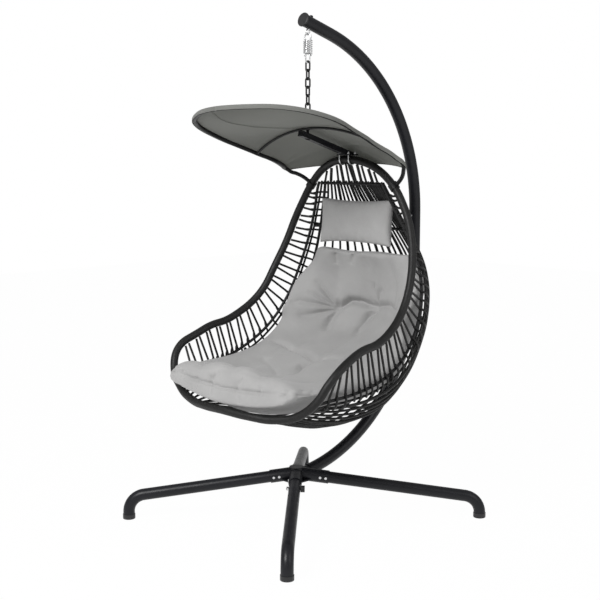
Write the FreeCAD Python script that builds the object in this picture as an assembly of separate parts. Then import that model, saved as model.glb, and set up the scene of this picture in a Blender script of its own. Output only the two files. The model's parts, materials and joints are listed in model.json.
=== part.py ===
import FreeCAD, Part
import math
import os

# Hanging egg chair: a four-legged stand with a curved pole, a spring and a chain,
# and a wicker basket with its canopy, seat cushion and head pillow.
# Sizes are in millimetres. +Z is up, +X is the sitter's left, and -Y is the front.

V = FreeCAD.Vector
X = V(1, 0, 0)
Y = V(0, 1, 0)
Z = V(0, 0, 1)

# Longer than anything that it cuts through
CUT_REACH = 200.0

# Clearances
SEAT_GAP = 0.3
FIT_GAP = 0.15
RUNNING_GAP = 0.08

# Legs and hub
LEG_OD = 46.0
LEG_WALL = 2.0
LEG_SPREAD = 43.4
LEG_SLOPE = 8.1
LEG_BEND_R = 70.0
FRONT_REACH = 670.0
BACK_REACH = 736.0
LEG_START = 34.0
HUB_HEIGHT = 185.0
SLEEVE_WALL = 3.0
FRONT_SLEEVE = 105.0
BACK_SLEEVE = 131.0
HUB_CORE_OD = 56.0
GUSSET_REACH = 84.0
GUSSET_THICK = 5.0
GUSSET_DROP = 24.0
FOOT_BASE = 4.0
FOOT_WALL = 1.6
FOOT_HEIGHT = 19.0

# Screws in the sleeves, and the knob bolt across one front leg
SCREW_SHANK_D = 5.0
SCREW_HEAD_D = 10.0
SCREW_HEAD_THICK = 3.0
SCREW_SPACING = 22.0
SCREW_FROM_END = 14.0
SCREW_LENGTH = 12.0
LOCK_BOLT_D = 8.0
LOCK_AT = 150.0
KNOB_D = 26.0
KNOB_LENGTH = 16.0
KNOB_SCALLOPS = 6
KNOB_SCALLOP_R = 4.0
LOCK_NUT_D = 14.0
LOCK_NUT_THICK = 7.0

# Pole
POLE_OD = 48.0
POLE_WALL = 2.5
POLE_BEND_R = 740.0
POLE_Y = 709.0
POLE_DROP = 7.4
POLE_STRAIGHT = 286.0
POLE_TOP_TURN = 73.0
HANG_AXIS_Y = 62.3
HUB_SPIGOT_LENGTH = 90.0
HUB_SPIGOT_GAP = 0.25
POLE_JOINT_FROM_BEND = 53.0
JOINT_SPIGOT_LENGTH = 180.0
JOINT_SPIGOT_WALL = 2.5
JOINT_BOLT_D = 8.0
JOINT_BOLT_RISE = 34.0
JOINT_HEAD_D = 13.0
JOINT_HEAD_THICK = 5.5
END_CAP_OD = 55.0
END_CAP_THICK = 9.0
END_CAP_ROUND = 3.5
END_CAP_PLUG = 22.0

# Eye bolt through the pole's end
EYE_FROM_TIP = 32.0
EYE_R = 9.5
EYE_WIRE_D = 5.5
EYE_SHANK_D = 8.0
CAP_NUT_D = 14.0
CAP_NUT_THICK = 6.5

# Spring unit: two drawbars that squeeze the coil when they are pulled apart
DRAWBAR_WIRE_D = 5.0
DRAWBAR_HALF_WIDTH = 9.0
DRAWBAR_HOOK_R = 4.0
DRAWBAR_HOOK_REACH = 16.0
UPPER_LOOP_R = 14.5
UPPER_LOOP_FLARE = 30.0
UPPER_LOOP_DROP = 25.0
UPPER_LOOP_TURN = 10.0
LOWER_LOOP_DROP = 29.9
LOWER_LOOP_TURN = 75.0
COIL_OD = 36.0
COIL_WIRE_D = 5.0
COIL_LENGTH = 56.0
COIL_TURNS = 7
COIL_PAST_HOOK = 12.0

# Chain
LINK_LENGTH = 45.2
LINK_WIDTH = 24.0
LINK_WIRE_D = 6.5
LINK_PLAY = 0.6
LINK_TURNS = (10.0, 105.0, 200.0, 274.0, 347.0, 425.0, 515.0, 605.0)

# Swivel eye on the arm
SWIVEL_EYE_R = 8.5
SWIVEL_WIRE_D = 6.0
SWIVEL_SHANK_D = 10.0
SWIVEL_NUT_D = 17.0
SWIVEL_NUT_THICK = 8.0
SWIVEL_TAIL = 3.0
SWIVEL_ACCESS_R = 11.0

# Basket. Its origin is on the hanging axis, at the arm's top face.
ARM_SLOPE = 16.5
ARM_WIDTH = 28.0
ARM_THICK = 21.0
ARM_WALL = 2.5
ARM_FRONT = 36.0
ARM_FOOT_WIDTH = 68.0
ARM_FOOT_THICK = 5.0
ARM_FOOT_EDGE = 7.5
U_BOLT_D = 6.0
U_BOLT_X = 25.0
U_BOLT_RISE = 10.0
U_BOLT_NUT_D = 11.0
U_BOLT_NUT_THICK = 5.0

# Rim centre line, from the top down the left side to the middle of the front edge
RIM_OD = 31.5
RIM_POINTS = (
    (0, 223, -100), (158, 240, -143), (230, 247, -206), (287, 245, -289),
    (368, 199, -502), (405, 85, -689), (423, -23, -756), (430, -178, -796),
    (436, -320, -878), (405, -353, -946), (333, -374, -1004), (229, -401, -1030),
    (114, -429, -1029), (0, -442, -1024),
)

# Stations of the shell, from the head to the front edge: a point of the left side rib,
# then the spine's depth and height at that station
SHELL_STATIONS = (
    ((177, 239, -198), (273, -198)),
    ((229, 266, -311), (359, -311)),
    ((263, 281, -381), (416, -381)),
    ((331, 288, -534), (521, -590)),
    ((375, 237, -700), (493, -790)),
    ((391, 184, -777), (438, -895)),
    ((406, 113, -842), (353, -1008)),
    ((416, 23, -892), (208, -1118)),
    ((416, -79, -926), (8, -1153)),
    ((404, -184, -946), (-155, -1123)),
    ((384, -275, -958), (-305, -1072)),
)
RIB_TOP_ALONG_RIM = 128.0
RIB_SHOULDER = (152, 236, -152)
RIB_D = 12.0
SPINE_D = 12.0
SPINE_SHOULDER = (0, 244, -145)
HOOP_D = 12.0
# Where the side rib comes to the front corner of the rim
RIB_FRONT = (392, -356, -962)
HOOP_STATIONS = {"head_hoop": 0, "back_hoop": 2, "lumbar_hoop": 4, "seat_hoop": 7}

# Strands
STRAND_D = 9.0
BAND_D = 12.0
STRAND_END_GAP = 0.9
BACK_STRANDS = 11
BAND_EVERY = 4
BACK_STRAND_SPREAD = 0.955
STRAND_TOP_RISE = 4.0
FRONT_STRAND_SPREAD = 0.80
SIDE_STRANDS = 34
SIDE_STRAND_PAIRING = 6.0
# Where the side strands leave the rim and meet the rib, as lengths along each
SIDE_STRAND_SPANS = (
    (300, 145), (346, 182), (432, 280), (626, 508), (706, 600), (834, 800), (948, 950),
    (1136, 1138), (1222, 1254),
)
# Head strands: sideways place at the rim, then at the head hoop, then the thickness
HEAD_STRANDS = (
    (120, 148, STRAND_D), (96, 118, BAND_D), (66, 78, STRAND_D), (45, 50, BAND_D),
    (13, 20, STRAND_D), (-13, -20, STRAND_D), (-45, -50, BAND_D), (-66, -78, STRAND_D),
    (-96, -118, BAND_D), (-120, -148, STRAND_D),
)

# Canopy, in the basket's coordinates: the left half of its loop, from front to rim
LOOP_D = 16.0
LOOP_POINTS = (
    (0, -489, 78), (127, -446, 72), (242, -341, 56), (301, -190, 19), (290, -8, -44),
    (283, 78, -76), (305, 146, -105), (322, 192, -133), (311, 205, -148), (295, 222, -160),
)
LOOP_END_ALONG_RIM = 262.0
CANOPY_LEAN = 6.6
LEAN_FULL_Y = 10.0
LEAN_NONE_Y = 222.0
LEAN_PIVOT_Z = -10.0
CROSS_RIB_D = 10.0
CROSS_RIB_Y = -12.0
CROSS_RIB_BOW = 18.0
CROSS_RIB_DROP = 4.0
CROSS_RIB_RISE = 2.1
BRACKET_WALL = 3.5
BRACKET_LENGTH = 26.0
FABRIC_THICK = 3.0
# Sections of the fabric: the depth at which its edges lie on the loop, how far its middle
# stands behind them, and the middle's height. The last ones run down behind the arm and
# the rim to the hem.
CANOPY_SECTIONS = (
    (-484, 0, 76), (-471, 0, 68), (-446, 0, 56), (-400, 0, 43), (-340, 0, 35),
    (-260, 0, 29), (-180, 0, 27), (-100, 0, 27), (-41, 0, 27), (20, 0, 17),
    (75, 0, 0), (141, 8, -22), (172, 29, -37), (188, 50, -52), (200, 72, -116),
)
FABRIC_EDGE_ANGLE = 45.0
FABRIC_EDGE_GAP = 2.2
FABRIC_HOLE_R = 17.0

# Seat and back cushion. Each station: the middle of its top surface (depth, height), the
# direction into the cushion (degrees below straight back), the half width, how far
# its side edges stand ahead of the middle, the thickness, and the height of its sides.
CUSHION_STATIONS = (
    (332, -478, 0, 204, 4, 26, 14),
    (340, -506, 0, 266, 34, 100, 46),
    (363, -566, 0, 304, 75, 124, 56),
    (378, -650, 2, 330, 150, 128, 58),
    (376, -726, 6, 322, 196, 121, 54),
    (338, -805, 22, 330, 188, 106, 56),
    (256, -840, 40, 336, 110, 132, 62),
    (150, -872, 60, 362, 40, 142, 58),
    (48, -894, 80, 378, 10, 138, 52),
    (-50, -924, 88, 382, 20, 136, 56),
    (-140, -943, 90, 378, 32, 128, 48),
    (-262, -936, 94, 368, 22, 126, 28),
    (-352, -888, 99, 345, -30, 140, 24),
    (-402, -872, 101, 335, -40, 134, 38),
    (-428, -888, 99, 320, -36, 112, 36),
    (-440, -912, 97, 290, -22, 76, 24),
)
CUSHION_LOBES = 4
LOBE_RISE = 16.0

# Head pillow
PILLOW_WIDTH = 393.5
PILLOW_HEIGHT = 188.0
PILLOW_WAIST = 168.0
PILLOW_FRONT = 32.0
PILLOW_BACK = 66.0
PILLOW_EDGE = 6.0
PILLOW_Y = 275.0
PILLOW_Z = -352.0
PILLOW_TILT = 4.0
PILLOW_SECTIONS = 9


class Path:
    """A line of straight runs and arcs, each tangent to the one before."""

    def __init__(self, point, direction):
        self.pieces = []
        self.point = V(point)
        self.direction = unit(direction)

    @property
    def length(self):
        return sum(piece[2] for piece in self.pieces)

    def add(self, length, radius, axis):
        piece = (self.point, self.direction, length, radius, axis)
        self.pieces.append(piece)
        self.point, self.direction = along(piece, length)
        return self

    def run(self, length):
        return self.add(length, 0.0, X)

    def bend(self, radius, toward, degrees=None):
        """Turns in the plane of the present direction and toward."""
        axis = unit(self.direction.cross(toward))
        angle = self.direction.getAngle(toward) if degrees is None else math.radians(degrees)
        return self.add(radius * angle, radius, axis)

    def reach(self, point):
        """Goes on to a point by the one arc that leaves along the present direction."""
        chord = point - self.point
        ahead = chord.dot(self.direction)
        side = chord - self.direction * ahead
        if side.Length < 1e-6 * chord.Length:
            return self.run(chord.Length)
        radius = chord.dot(chord) / (2 * side.Length)
        angle = 2 * math.atan2(side.Length, ahead)
        return self.add(radius * angle, radius, unit(self.direction.cross(side)))

    def at(self, distance):
        """The point and direction at a length along the path."""
        for piece in self.pieces:
            if distance <= piece[2]:
                return along(piece, distance)
            distance -= piece[2]
        return along(self.pieces[-1], self.pieces[-1][2] + distance)

    def part(self, first, last):
        """The stretch between two lengths along the path."""
        point, direction = self.at(first)
        stretch = Path(point, direction)
        passed = 0.0
        for piece in self.pieces:
            low = max(first, passed)
            high = min(last, passed + piece[2])
            if high - low > 1e-6:
                stretch.add(high - low, piece[3], piece[4])
            passed += piece[2]
        return stretch


def unit(vector):
    return vector / vector.Length


def turned(vector, axis, radians):
    return FreeCAD.Rotation(axis, math.degrees(radians)).multVec(vector)


def along(piece, length):
    """The point and direction at a length along one run or arc."""
    point, direction, _, radius, axis = piece
    if radius == 0.0:
        return point + direction * length, direction
    centre = point + axis.cross(direction) * radius
    angle = length / radius
    return centre + turned(point - centre, axis, angle), turned(direction, axis, angle)


def tangents(points, first, last):
    """The direction at each point, from the circle through it and its two neighbours."""
    found = []
    for before, here, after in zip(points, points[1:], points[2:]):
        back = here - before
        ahead = after - here
        found.append(unit(unit(back) * ahead.Length + unit(ahead) * back.Length))
    start = unit(points[1] - points[0])
    end = unit(points[-1] - points[-2])
    found.insert(0, first or start * 2 * start.dot(found[0]) - found[0])
    found.append(last or end * 2 * end.dot(found[-1]) - found[-1])
    return found


def two_arcs(path, end, arrive):
    """Goes on to a point, and arrives in a given direction, by two tangent arcs."""
    start = path.point
    leave = path.direction
    chord = end - start
    both = chord.dot(leave + arrive)
    slack = 1 - leave.dot(arrive)
    reach = chord.dot(chord) / (both + math.sqrt(both**2 + 2 * slack * chord.dot(chord)))
    path.reach((start + leave * reach + end - arrive * reach) / 2)
    path.reach(end)
    path.direction = arrive


def smooth(points, first=None, last=None):
    """A path through points. Its marks are the lengths at which it passes them."""
    points = [V(*p) if isinstance(p, tuple) else V(p) for p in points]
    ways = tangents(points, first, last)
    path = Path(points[0], ways[0])
    path.marks = [0.0]
    for end, arrive in zip(points[1:], ways[1:]):
        two_arcs(path, end, arrive)
        path.marks.append(path.length)
    return path


def mirrored(shape):
    return shape.mirror(V(0, 0, 0), X)


def swept(ring, piece):
    """The face that a ring leaves along one run or arc, and the ring at its end."""
    point, direction, length, radius, axis = piece
    end = ring.copy()
    if radius == 0.0:
        end.translate(direction * length)
        return ring.extrude(direction * length), end
    centre = point + axis.cross(direction) * radius
    degrees = math.degrees(length / radius)
    end.rotate(centre, axis, degrees)
    return ring.revolve(centre, axis, degrees), end


def sides(path, radius):
    """The faces round a path, with the rings that start and end them."""
    start = Part.Circle(path.pieces[0][0], path.pieces[0][1], radius).toShape()
    faces = []
    ring = start
    for piece in path.pieces:
        face, ring = swept(ring, piece)
        faces.append(face)
    return faces, start, ring


def disc(rings):
    faces = [Part.Face(Part.Wire([ring])) for ring in rings]
    return faces[0] if len(faces) == 1 else faces[0].cut(faces[1]).Faces[0]


def solid_of(faces):
    """The closed solid that the faces bound."""
    joined = Part.Compound(faces)
    joined.sewShape()
    solid = Part.Solid(joined.Shells[0])
    if solid.Volume < 0:
        solid.reverse()
    return solid


def tube(path, radius, bore=0.0, closed=False):
    """A round bar along a path, or a pipe where it has a bore."""
    faces = []
    ends = []
    for r in (radius, bore) if bore else (radius,):
        wall, start, end = sides(path, r)
        faces += wall
        ends.append((start, end))
    if not closed:
        faces.append(disc([start for start, _ in ends]))
        faces.append(disc([end for _, end in ends]))
    return solid_of(faces)


def cylinder(start, direction, length, radius):
    return Part.makeCylinder(radius, length, start, direction)


def cone_nut(start, direction, thickness, width):
    """A domed nut, wider at its seat than at its top."""
    nut = Part.makeCylinder(width / 2, thickness * 0.7, start, direction)
    top = start + direction * thickness * 0.7
    dome = Part.makeCone(width / 2, width / 4, thickness * 0.3, top, direction)
    return nut.fuse(dome).removeSplitter()


def hexagon_nut(start, direction, thickness, width, bore, turn=0.0):
    """A six-sided nut with a round bore."""
    corner = width / math.sqrt(3)
    side = unit(direction.cross(X if abs(direction.x) < 0.9 else Y))
    points = [
        start + turned(side * corner, direction, math.radians(60 * k + turn)) for k in range(7)
    ]
    points[6] = points[0]
    nut = Part.Face(Part.makePolygon(points)).extrude(direction * thickness)
    return nut.cut(cylinder(start - direction, direction, thickness + 2, bore))


def seat_cut(strand_radius, tube_radius, strand_way, tube_way):
    """How much of a strand that is aimed at a tube's middle is cut to end on its surface."""
    cosine = abs(strand_way.dot(tube_way))
    sine = math.sqrt(1 - cosine**2)
    return (tube_radius + STRAND_END_GAP + strand_radius * cosine) / sine


# Stand


LEG_R = LEG_OD / 2
SLEEVE_BORE = LEG_R + FIT_GAP
SLEEVE_R = SLEEVE_BORE + SLEEVE_WALL
POLE_R = POLE_OD / 2
POLE_BORE = POLE_R - POLE_WALL
HUB_CENTRE = V(0, 0, HUB_HEIGHT)
LEG_PLACES = {
    "front_leg_left": (1, -1),
    "front_leg_right": (-1, -1),
    "back_leg_left": (1, 1),
    "back_leg_right": (-1, 1),
}


def leg_way(side, end):
    """The direction of a leg's sleeve, out of the hub and a little down."""
    spread = math.radians(LEG_SPREAD)
    slope = math.radians(LEG_SLOPE)
    flat = V(side * math.sin(spread), end * math.cos(spread), 0)
    return flat * math.cos(slope) - Z * math.sin(slope)


def leg_reach(end):
    return FRONT_REACH if end < 0 else BACK_REACH


def sleeve_length(end):
    return FRONT_SLEEVE if end < 0 else BACK_SLEEVE


def foot_place(side, end):
    """The middle of a foot on the floor."""
    spread = math.radians(LEG_SPREAD)
    reach = leg_reach(end)
    return V(side * reach * math.sin(spread), end * reach * math.cos(spread), 0)


def leg_path(side, end):
    way = leg_way(side, end)
    bend_start = LEG_BEND_R * math.tan(math.radians(90 - LEG_SLOPE) / 2)
    run = leg_reach(end) / math.cos(math.radians(LEG_SLOPE)) - bend_start - LEG_START
    path = Path(HUB_CENTRE + way * LEG_START, way)
    path.run(run).bend(LEG_BEND_R, -Z)
    return path.run(path.point.z - FOOT_BASE - FIT_GAP)


def screw_places(side, end):
    """Where the two screws of a sleeve stand, and which way they point in."""
    way = leg_way(side, end)
    inward = unit(way.cross(Z)) * side * end
    inward = inward if end < 0 else -inward
    last = sleeve_length(end) - SCREW_FROM_END
    return [
        (HUB_CENTRE + way * (last - k * SCREW_SPACING) - inward * SLEEVE_R, inward)
        for k in range(2)
    ]


def sleeve_screw(place, inward):
    shank = cylinder(place, inward, SCREW_LENGTH, SCREW_SHANK_D / 2)
    head = cylinder(place - inward * SCREW_HEAD_THICK, inward, SCREW_HEAD_THICK, SCREW_HEAD_D / 2)
    return shank.fuse(head).removeSplitter()


def screw_holes(side, end):
    return [
        cylinder(place - inward, inward, SCREW_LENGTH, SCREW_SHANK_D / 2 + FIT_GAP)
        for place, inward in screw_places(side, end)
    ]


LOCK_LEG = "front_leg_left"


def lock_line():
    """A point on the knob bolt's axis and the axis, which crosses the leg level."""
    way = leg_way(*LEG_PLACES[LOCK_LEG])
    return HUB_CENTRE + way * LOCK_AT, unit(way.cross(Z))


def lock_knob():
    middle, way = lock_line()
    seat = LEG_R + SEAT_GAP
    length = 2 * seat + LOCK_NUT_THICK + 2
    shank = cylinder(middle - way * seat, way, length, LOCK_BOLT_D / 2)
    start = middle - way * (seat + KNOB_LENGTH)
    knob = cylinder(start, way, KNOB_LENGTH, KNOB_D / 2)
    for k in range(KNOB_SCALLOPS):
        out = turned(Z, way, math.radians(360 / KNOB_SCALLOPS * k)) * KNOB_D * 0.56
        knob = knob.cut(cylinder(start - way + out, way, KNOB_LENGTH + 2, KNOB_SCALLOP_R))
    return knob.fuse(shank)


def lock_nut():
    middle, way = lock_line()
    start = middle + way * (LEG_R + SEAT_GAP)
    return hexagon_nut(start, way, LOCK_NUT_THICK, LOCK_NUT_D, LOCK_BOLT_D / 2 + RUNNING_GAP)


def leg(name):
    side, end = LEG_PLACES[name]
    shape = tube(leg_path(side, end), LEG_R, LEG_R - LEG_WALL)
    cuts = screw_holes(side, end)
    if name == LOCK_LEG:
        middle, way = lock_line()
        radius = LOCK_BOLT_D / 2 + FIT_GAP
        cuts.append(cylinder(middle - way * LEG_OD, way, 2 * LEG_OD, radius))
    return shape.cut(cuts)


def foot_cap(side, end):
    """A plastic cup over the end of a leg."""
    place = foot_place(side, end)
    cup = cylinder(place, Z, FOOT_HEIGHT, LEG_R + FIT_GAP + FOOT_WALL)
    cup = cup.makeFillet(FOOT_BASE / 2, [cup.Edges[2]])
    return cup.cut(cylinder(place + Z * FOOT_BASE, Z, FOOT_HEIGHT, LEG_R + FIT_GAP))


def gusset(side, end, other_side, other_end):
    """A flat plate in the corner between two neighbouring sleeves."""
    low = HUB_CENTRE - Z * GUSSET_DROP
    corners = [low]
    for s, e in ((side, end), (other_side, other_end)):
        way = leg_way(s, e)
        corners.append(low + unit(V(way.x, way.y, 0)) * GUSSET_REACH)
    corners.append(low)
    return Part.Face(Part.makePolygon(corners)).extrude(Z * GUSSET_THICK)


def hub():
    shape = cylinder(HUB_CENTRE - Z * SLEEVE_R, Z, 2 * SLEEVE_R, HUB_CORE_OD / 2)
    bores = []
    for side, end in LEG_PLACES.values():
        way = leg_way(side, end)
        shape = shape.fuse(cylinder(HUB_CENTRE, way, sleeve_length(end), SLEEVE_R))
        bores.append(cylinder(HUB_CENTRE + way * LEG_START, way, BACK_SLEEVE, SLEEVE_BORE))
        bores += screw_holes(side, end)
    for corner in ((1, -1, -1, -1), (1, -1, 1, 1), (-1, -1, -1, 1), (1, 1, -1, 1)):
        shape = shape.fuse(gusset(*corner))
    inside = POLE_CLEAR_Y / 2
    start = pole_start() - inside
    spigot = pole_path().part(start, start + HUB_SPIGOT_LENGTH + inside)
    shape = shape.fuse(tube(spigot, POLE_BORE - HUB_SPIGOT_GAP))
    return shape.cut(bores).removeSplitter()


def pole_end_run():
    """How far the pole runs past its top bend, for the eye to hang on its axis."""
    turn = math.radians(POLE_TOP_TURN)
    bend_end = POLE_Y - POLE_BEND_R * (1 - math.cos(turn))
    eye_drop = POLE_R + SEAT_GAP + EYE_R + EYE_WIRE_D / 2
    back = bend_end - eye_drop * math.cos(turn) - HANG_AXIS_Y
    return EYE_FROM_TIP + back / math.sin(turn)


def pole_path():
    """The pole's whole centre line, from under the hub to its tip."""
    path = Path(V(0, POLE_Y - POLE_BEND_R, HUB_HEIGHT - POLE_DROP), Y)
    path.bend(POLE_BEND_R, Z).run(POLE_STRAIGHT)
    return path.bend(POLE_BEND_R, -Y, POLE_TOP_TURN).run(pole_end_run())


# The pole starts where it is clear of the back sleeves, which part at the leg spread
POLE_CLEAR_Y = (POLE_R * math.cos(math.radians(LEG_SPREAD)) + SLEEVE_R + 2) / math.sin(
    math.radians(LEG_SPREAD)
)


def pole_start():
    return POLE_BEND_R * math.asin((POLE_CLEAR_Y - POLE_Y + POLE_BEND_R) / POLE_BEND_R)


def joint_place():
    """The length along the pole at which its two tubes meet."""
    return POLE_BEND_R * math.pi / 2 + POLE_STRAIGHT - POLE_JOINT_FROM_BEND


def joint_bolt_line():
    point, _ = pole_path().at(joint_place() + JOINT_BOLT_RISE)
    return point


def lower_pole():
    return tube(pole_path().part(pole_start(), joint_place()), POLE_R, POLE_BORE)


def upper_pole():
    path = pole_path()
    shape = tube(path.part(joint_place(), path.length), POLE_R, POLE_BORE)
    bolt = joint_bolt_line()
    holes = [cylinder(bolt - Y * POLE_OD, Y, 2 * POLE_OD, JOINT_BOLT_D / 2 + FIT_GAP)]
    middle, way = eye_line()
    holes.append(cylinder(middle - way * POLE_OD, way, 2 * POLE_OD, EYE_SHANK_D / 2 + FIT_GAP))
    return shape.cut(holes)


def pole_spigot():
    """The inner tube that joins the two pole tubes."""
    half = JOINT_SPIGOT_LENGTH / 2
    path = pole_path().part(joint_place() - half, joint_place() + POLE_JOINT_FROM_BEND)
    radius = POLE_BORE - FIT_GAP
    bolt = joint_bolt_line()
    hole = cylinder(bolt - Y * POLE_OD, Y, 2 * POLE_OD, JOINT_BOLT_D / 2 + FIT_GAP)
    return tube(path, radius, radius - JOINT_SPIGOT_WALL).cut(hole)


def joint_bolt():
    place = joint_bolt_line() + Y * (POLE_R + SEAT_GAP)
    head = cylinder(place, Y, JOINT_HEAD_THICK, JOINT_HEAD_D / 2)
    shank = cylinder(place - Y * (POLE_OD + 8), Y, POLE_OD + 8, JOINT_BOLT_D / 2)
    return head.fuse(shank).removeSplitter()


def joint_nut():
    place = joint_bolt_line() - Y * (POLE_R + SEAT_GAP)
    return hexagon_nut(place, -Y, 6, JOINT_HEAD_D, JOINT_BOLT_D / 2 + RUNNING_GAP)


def pole_end_cap():
    path = pole_path()
    tip, way = path.at(path.length)
    cap = cylinder(tip, way, END_CAP_THICK, END_CAP_OD / 2)
    cap = cap.makeFillet(END_CAP_ROUND, [e for e in cap.Edges if e.Curve.TypeId.endswith("Circle")])
    plug = cylinder(tip - way * END_CAP_PLUG, way, END_CAP_PLUG, POLE_BORE - FIT_GAP)
    return cap.fuse(plug)


def eye_line():
    """The middle of the pole where the eye bolt crosses it, and the way down its shank."""
    path = pole_path()
    middle, way = path.at(path.length - EYE_FROM_TIP)
    return middle, unit(way.cross(-X))


def eye_centre():
    middle, down = eye_line()
    return middle + down * (POLE_R + SEAT_GAP + EYE_R + EYE_WIRE_D / 2)


def eye_bolt():
    middle, down = eye_line()
    centre = eye_centre()
    ring = Part.makeTorus(EYE_R, EYE_WIRE_D / 2, centre, X)
    top = POLE_R + SEAT_GAP + CAP_NUT_THICK * 0.7
    length = top + (centre - middle).Length - EYE_R
    shank = cylinder(middle - down * top, down, length, EYE_SHANK_D / 2)
    return ring.fuse(shank)


def eye_bolt_nut():
    middle, down = eye_line()
    place = middle - down * (POLE_R + SEAT_GAP)
    nut = cone_nut(place, -down, CAP_NUT_THICK, CAP_NUT_D)
    bore = cylinder(place + down, -down, 1 + CAP_NUT_THICK * 0.8, EYE_SHANK_D / 2 + RUNNING_GAP)
    return nut.cut(bore)


# Hanging gear, from the eye bolt down


HANG_Y = eye_centre().y
SWING_Z = eye_centre().z - EYE_R + EYE_WIRE_D / 2
UPPER_WIRE_Z = SWING_Z + DRAWBAR_WIRE_D / 2 + SEAT_GAP
COIL_TOP = UPPER_WIRE_Z - UPPER_LOOP_DROP
COIL_BOTTOM = COIL_TOP - COIL_LENGTH
LOWER_WIRE_Z = COIL_BOTTOM - LOWER_LOOP_DROP
LINK_BAR_Z = LOWER_WIRE_Z + (DRAWBAR_WIRE_D + LINK_WIRE_D) / 2 + LINK_PLAY
LINK_PITCH = LINK_LENGTH - 2 * LINK_WIRE_D - SEAT_GAP
LAST_BAR_Z = LINK_BAR_Z - LINK_PITCH * (len(LINK_TURNS) - 1) - (LINK_LENGTH - LINK_WIRE_D)
SWIVEL_BAR_Z = LAST_BAR_Z + (SWIVEL_WIRE_D + LINK_WIRE_D) / 2 + SEAT_GAP
SWIVEL_Z = SWIVEL_BAR_Z - SWIVEL_EYE_R
SWIVEL_RISE = (SWIVEL_EYE_R + SWIVEL_WIRE_D / 2 + SEAT_GAP) / math.cos(math.radians(ARM_SLOPE))
BASKET_ORIGIN = V(0, HANG_Y, SWIVEL_Z - SWIVEL_RISE)


def hung(shape, turn, height):
    """Turns a shape that was drawn in the XZ plane, and lifts it onto the hanging axis."""
    shape.rotate(V(0, 0, 0), Z, turn)
    shape.translate(V(0, HANG_Y, height))
    return shape


def hook(end_z):
    """The foot of a drawbar that grips the end of the coil, then its way up inside."""
    path = Path(V(DRAWBAR_HOOK_REACH, 0, end_z), -X)
    path.run(DRAWBAR_HOOK_REACH - DRAWBAR_HALF_WIDTH - DRAWBAR_HOOK_R)
    return path.bend(DRAWBAR_HOOK_R, Z)


def upper_drawbar():
    """A bar whose loop hangs in the eye bolt and whose feet hook under the coil."""
    flare = math.radians(UPPER_LOOP_FLARE)
    flare_r = (UPPER_LOOP_R * math.cos(flare) - DRAWBAR_HALF_WIDTH) / (1 - math.cos(flare))
    loop_middle = -UPPER_LOOP_R
    flare_z = loop_middle - (UPPER_LOOP_R + flare_r) * math.sin(flare)
    foot_z = -UPPER_LOOP_DROP - COIL_LENGTH - DRAWBAR_WIRE_D / 2 - SEAT_GAP
    path = hook(foot_z)
    path.run(flare_z - path.point.z).bend(flare_r, X, UPPER_LOOP_FLARE)
    path.bend(UPPER_LOOP_R, -X, 90 + UPPER_LOOP_FLARE)
    half, start, end = sides(path, DRAWBAR_WIRE_D / 2)
    faces = half + [mirrored(face) for face in half]
    faces += [disc([start]), mirrored(disc([start]))]
    return hung(solid_of(faces), UPPER_LOOP_TURN, UPPER_WIRE_Z)


def lower_drawbar():
    """A bar whose loop holds the chain and whose ends hook over the top of the coil."""
    loop_z = DRAWBAR_HALF_WIDTH
    foot_z = LOWER_LOOP_DROP + COIL_LENGTH + DRAWBAR_WIRE_D / 2 + SEAT_GAP
    path = Path(V(DRAWBAR_HOOK_REACH, 0, foot_z), -X)
    path.run(DRAWBAR_HOOK_REACH - DRAWBAR_HALF_WIDTH - DRAWBAR_HOOK_R)
    path.bend(DRAWBAR_HOOK_R, -Z).run(path.point.z - loop_z)
    path.bend(DRAWBAR_HALF_WIDTH, -X)
    half, start, end = sides(path, DRAWBAR_WIRE_D / 2)
    faces = half + [mirrored(face) for face in half]
    faces += [disc([start]), mirrored(disc([start]))]
    return hung(solid_of(faces), LOWER_LOOP_TURN, LOWER_WIRE_Z)


def coil_points(count):
    """Points on the coil's centre line and its direction at each, from end to end.

    Each end of the wire lies a little past the hook that grips it.
    """
    radius = (COIL_OD - COIL_WIRE_D) / 2
    first = math.radians(UPPER_LOOP_TURN - COIL_PAST_HOOK)
    last = math.radians(LOWER_LOOP_TURN + COIL_PAST_HOOK) + 2 * math.pi * COIL_TURNS
    rise = (COIL_LENGTH - COIL_WIRE_D) / (last - first)
    points = []
    ways = []
    for k in range(count + 1):
        angle = first + (last - first) * k / count
        height = rise * (angle - first)
        points.append(V(radius * math.cos(angle), radius * math.sin(angle), height))
        ways.append(unit(V(-radius * math.sin(angle), radius * math.cos(angle), rise)))
    return points, ways


def spring_coil():
    """The coil, as one unbroken wire."""
    points, ways = coil_points(4 * COIL_TURNS + 1)
    edges = []
    for start, end, leave, arrive in zip(points, points[1:], ways, ways[1:]):
        path = Path(start, leave)
        two_arcs(path, end, arrive)
        for piece in path.pieces:
            half = along(piece, piece[2] / 2)[0]
            edges.append(Part.Arc(piece[0], half, along(piece, piece[2])[0]).toShape())
    ring = Part.Wire([Part.Circle(points[0], ways[0], COIL_WIRE_D / 2).toShape()])
    coil = Part.Wire(edges).makePipeShell([ring], True, False)
    if coil.Volume < 0:
        coil.reverse()
    coil.translate(V(0, HANG_Y, COIL_BOTTOM + COIL_WIRE_D / 2))
    print("coil least gap to itself", round(coil_gap(), 2))
    return coil


def coil_gap():
    """The least distance between two turns' surfaces, measured on points."""
    points, _ = coil_points(24 * COIL_TURNS)
    least = min((a - b).Length for i, a in enumerate(points) for b in points[i + 12 :])
    return least - COIL_WIRE_D


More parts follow.
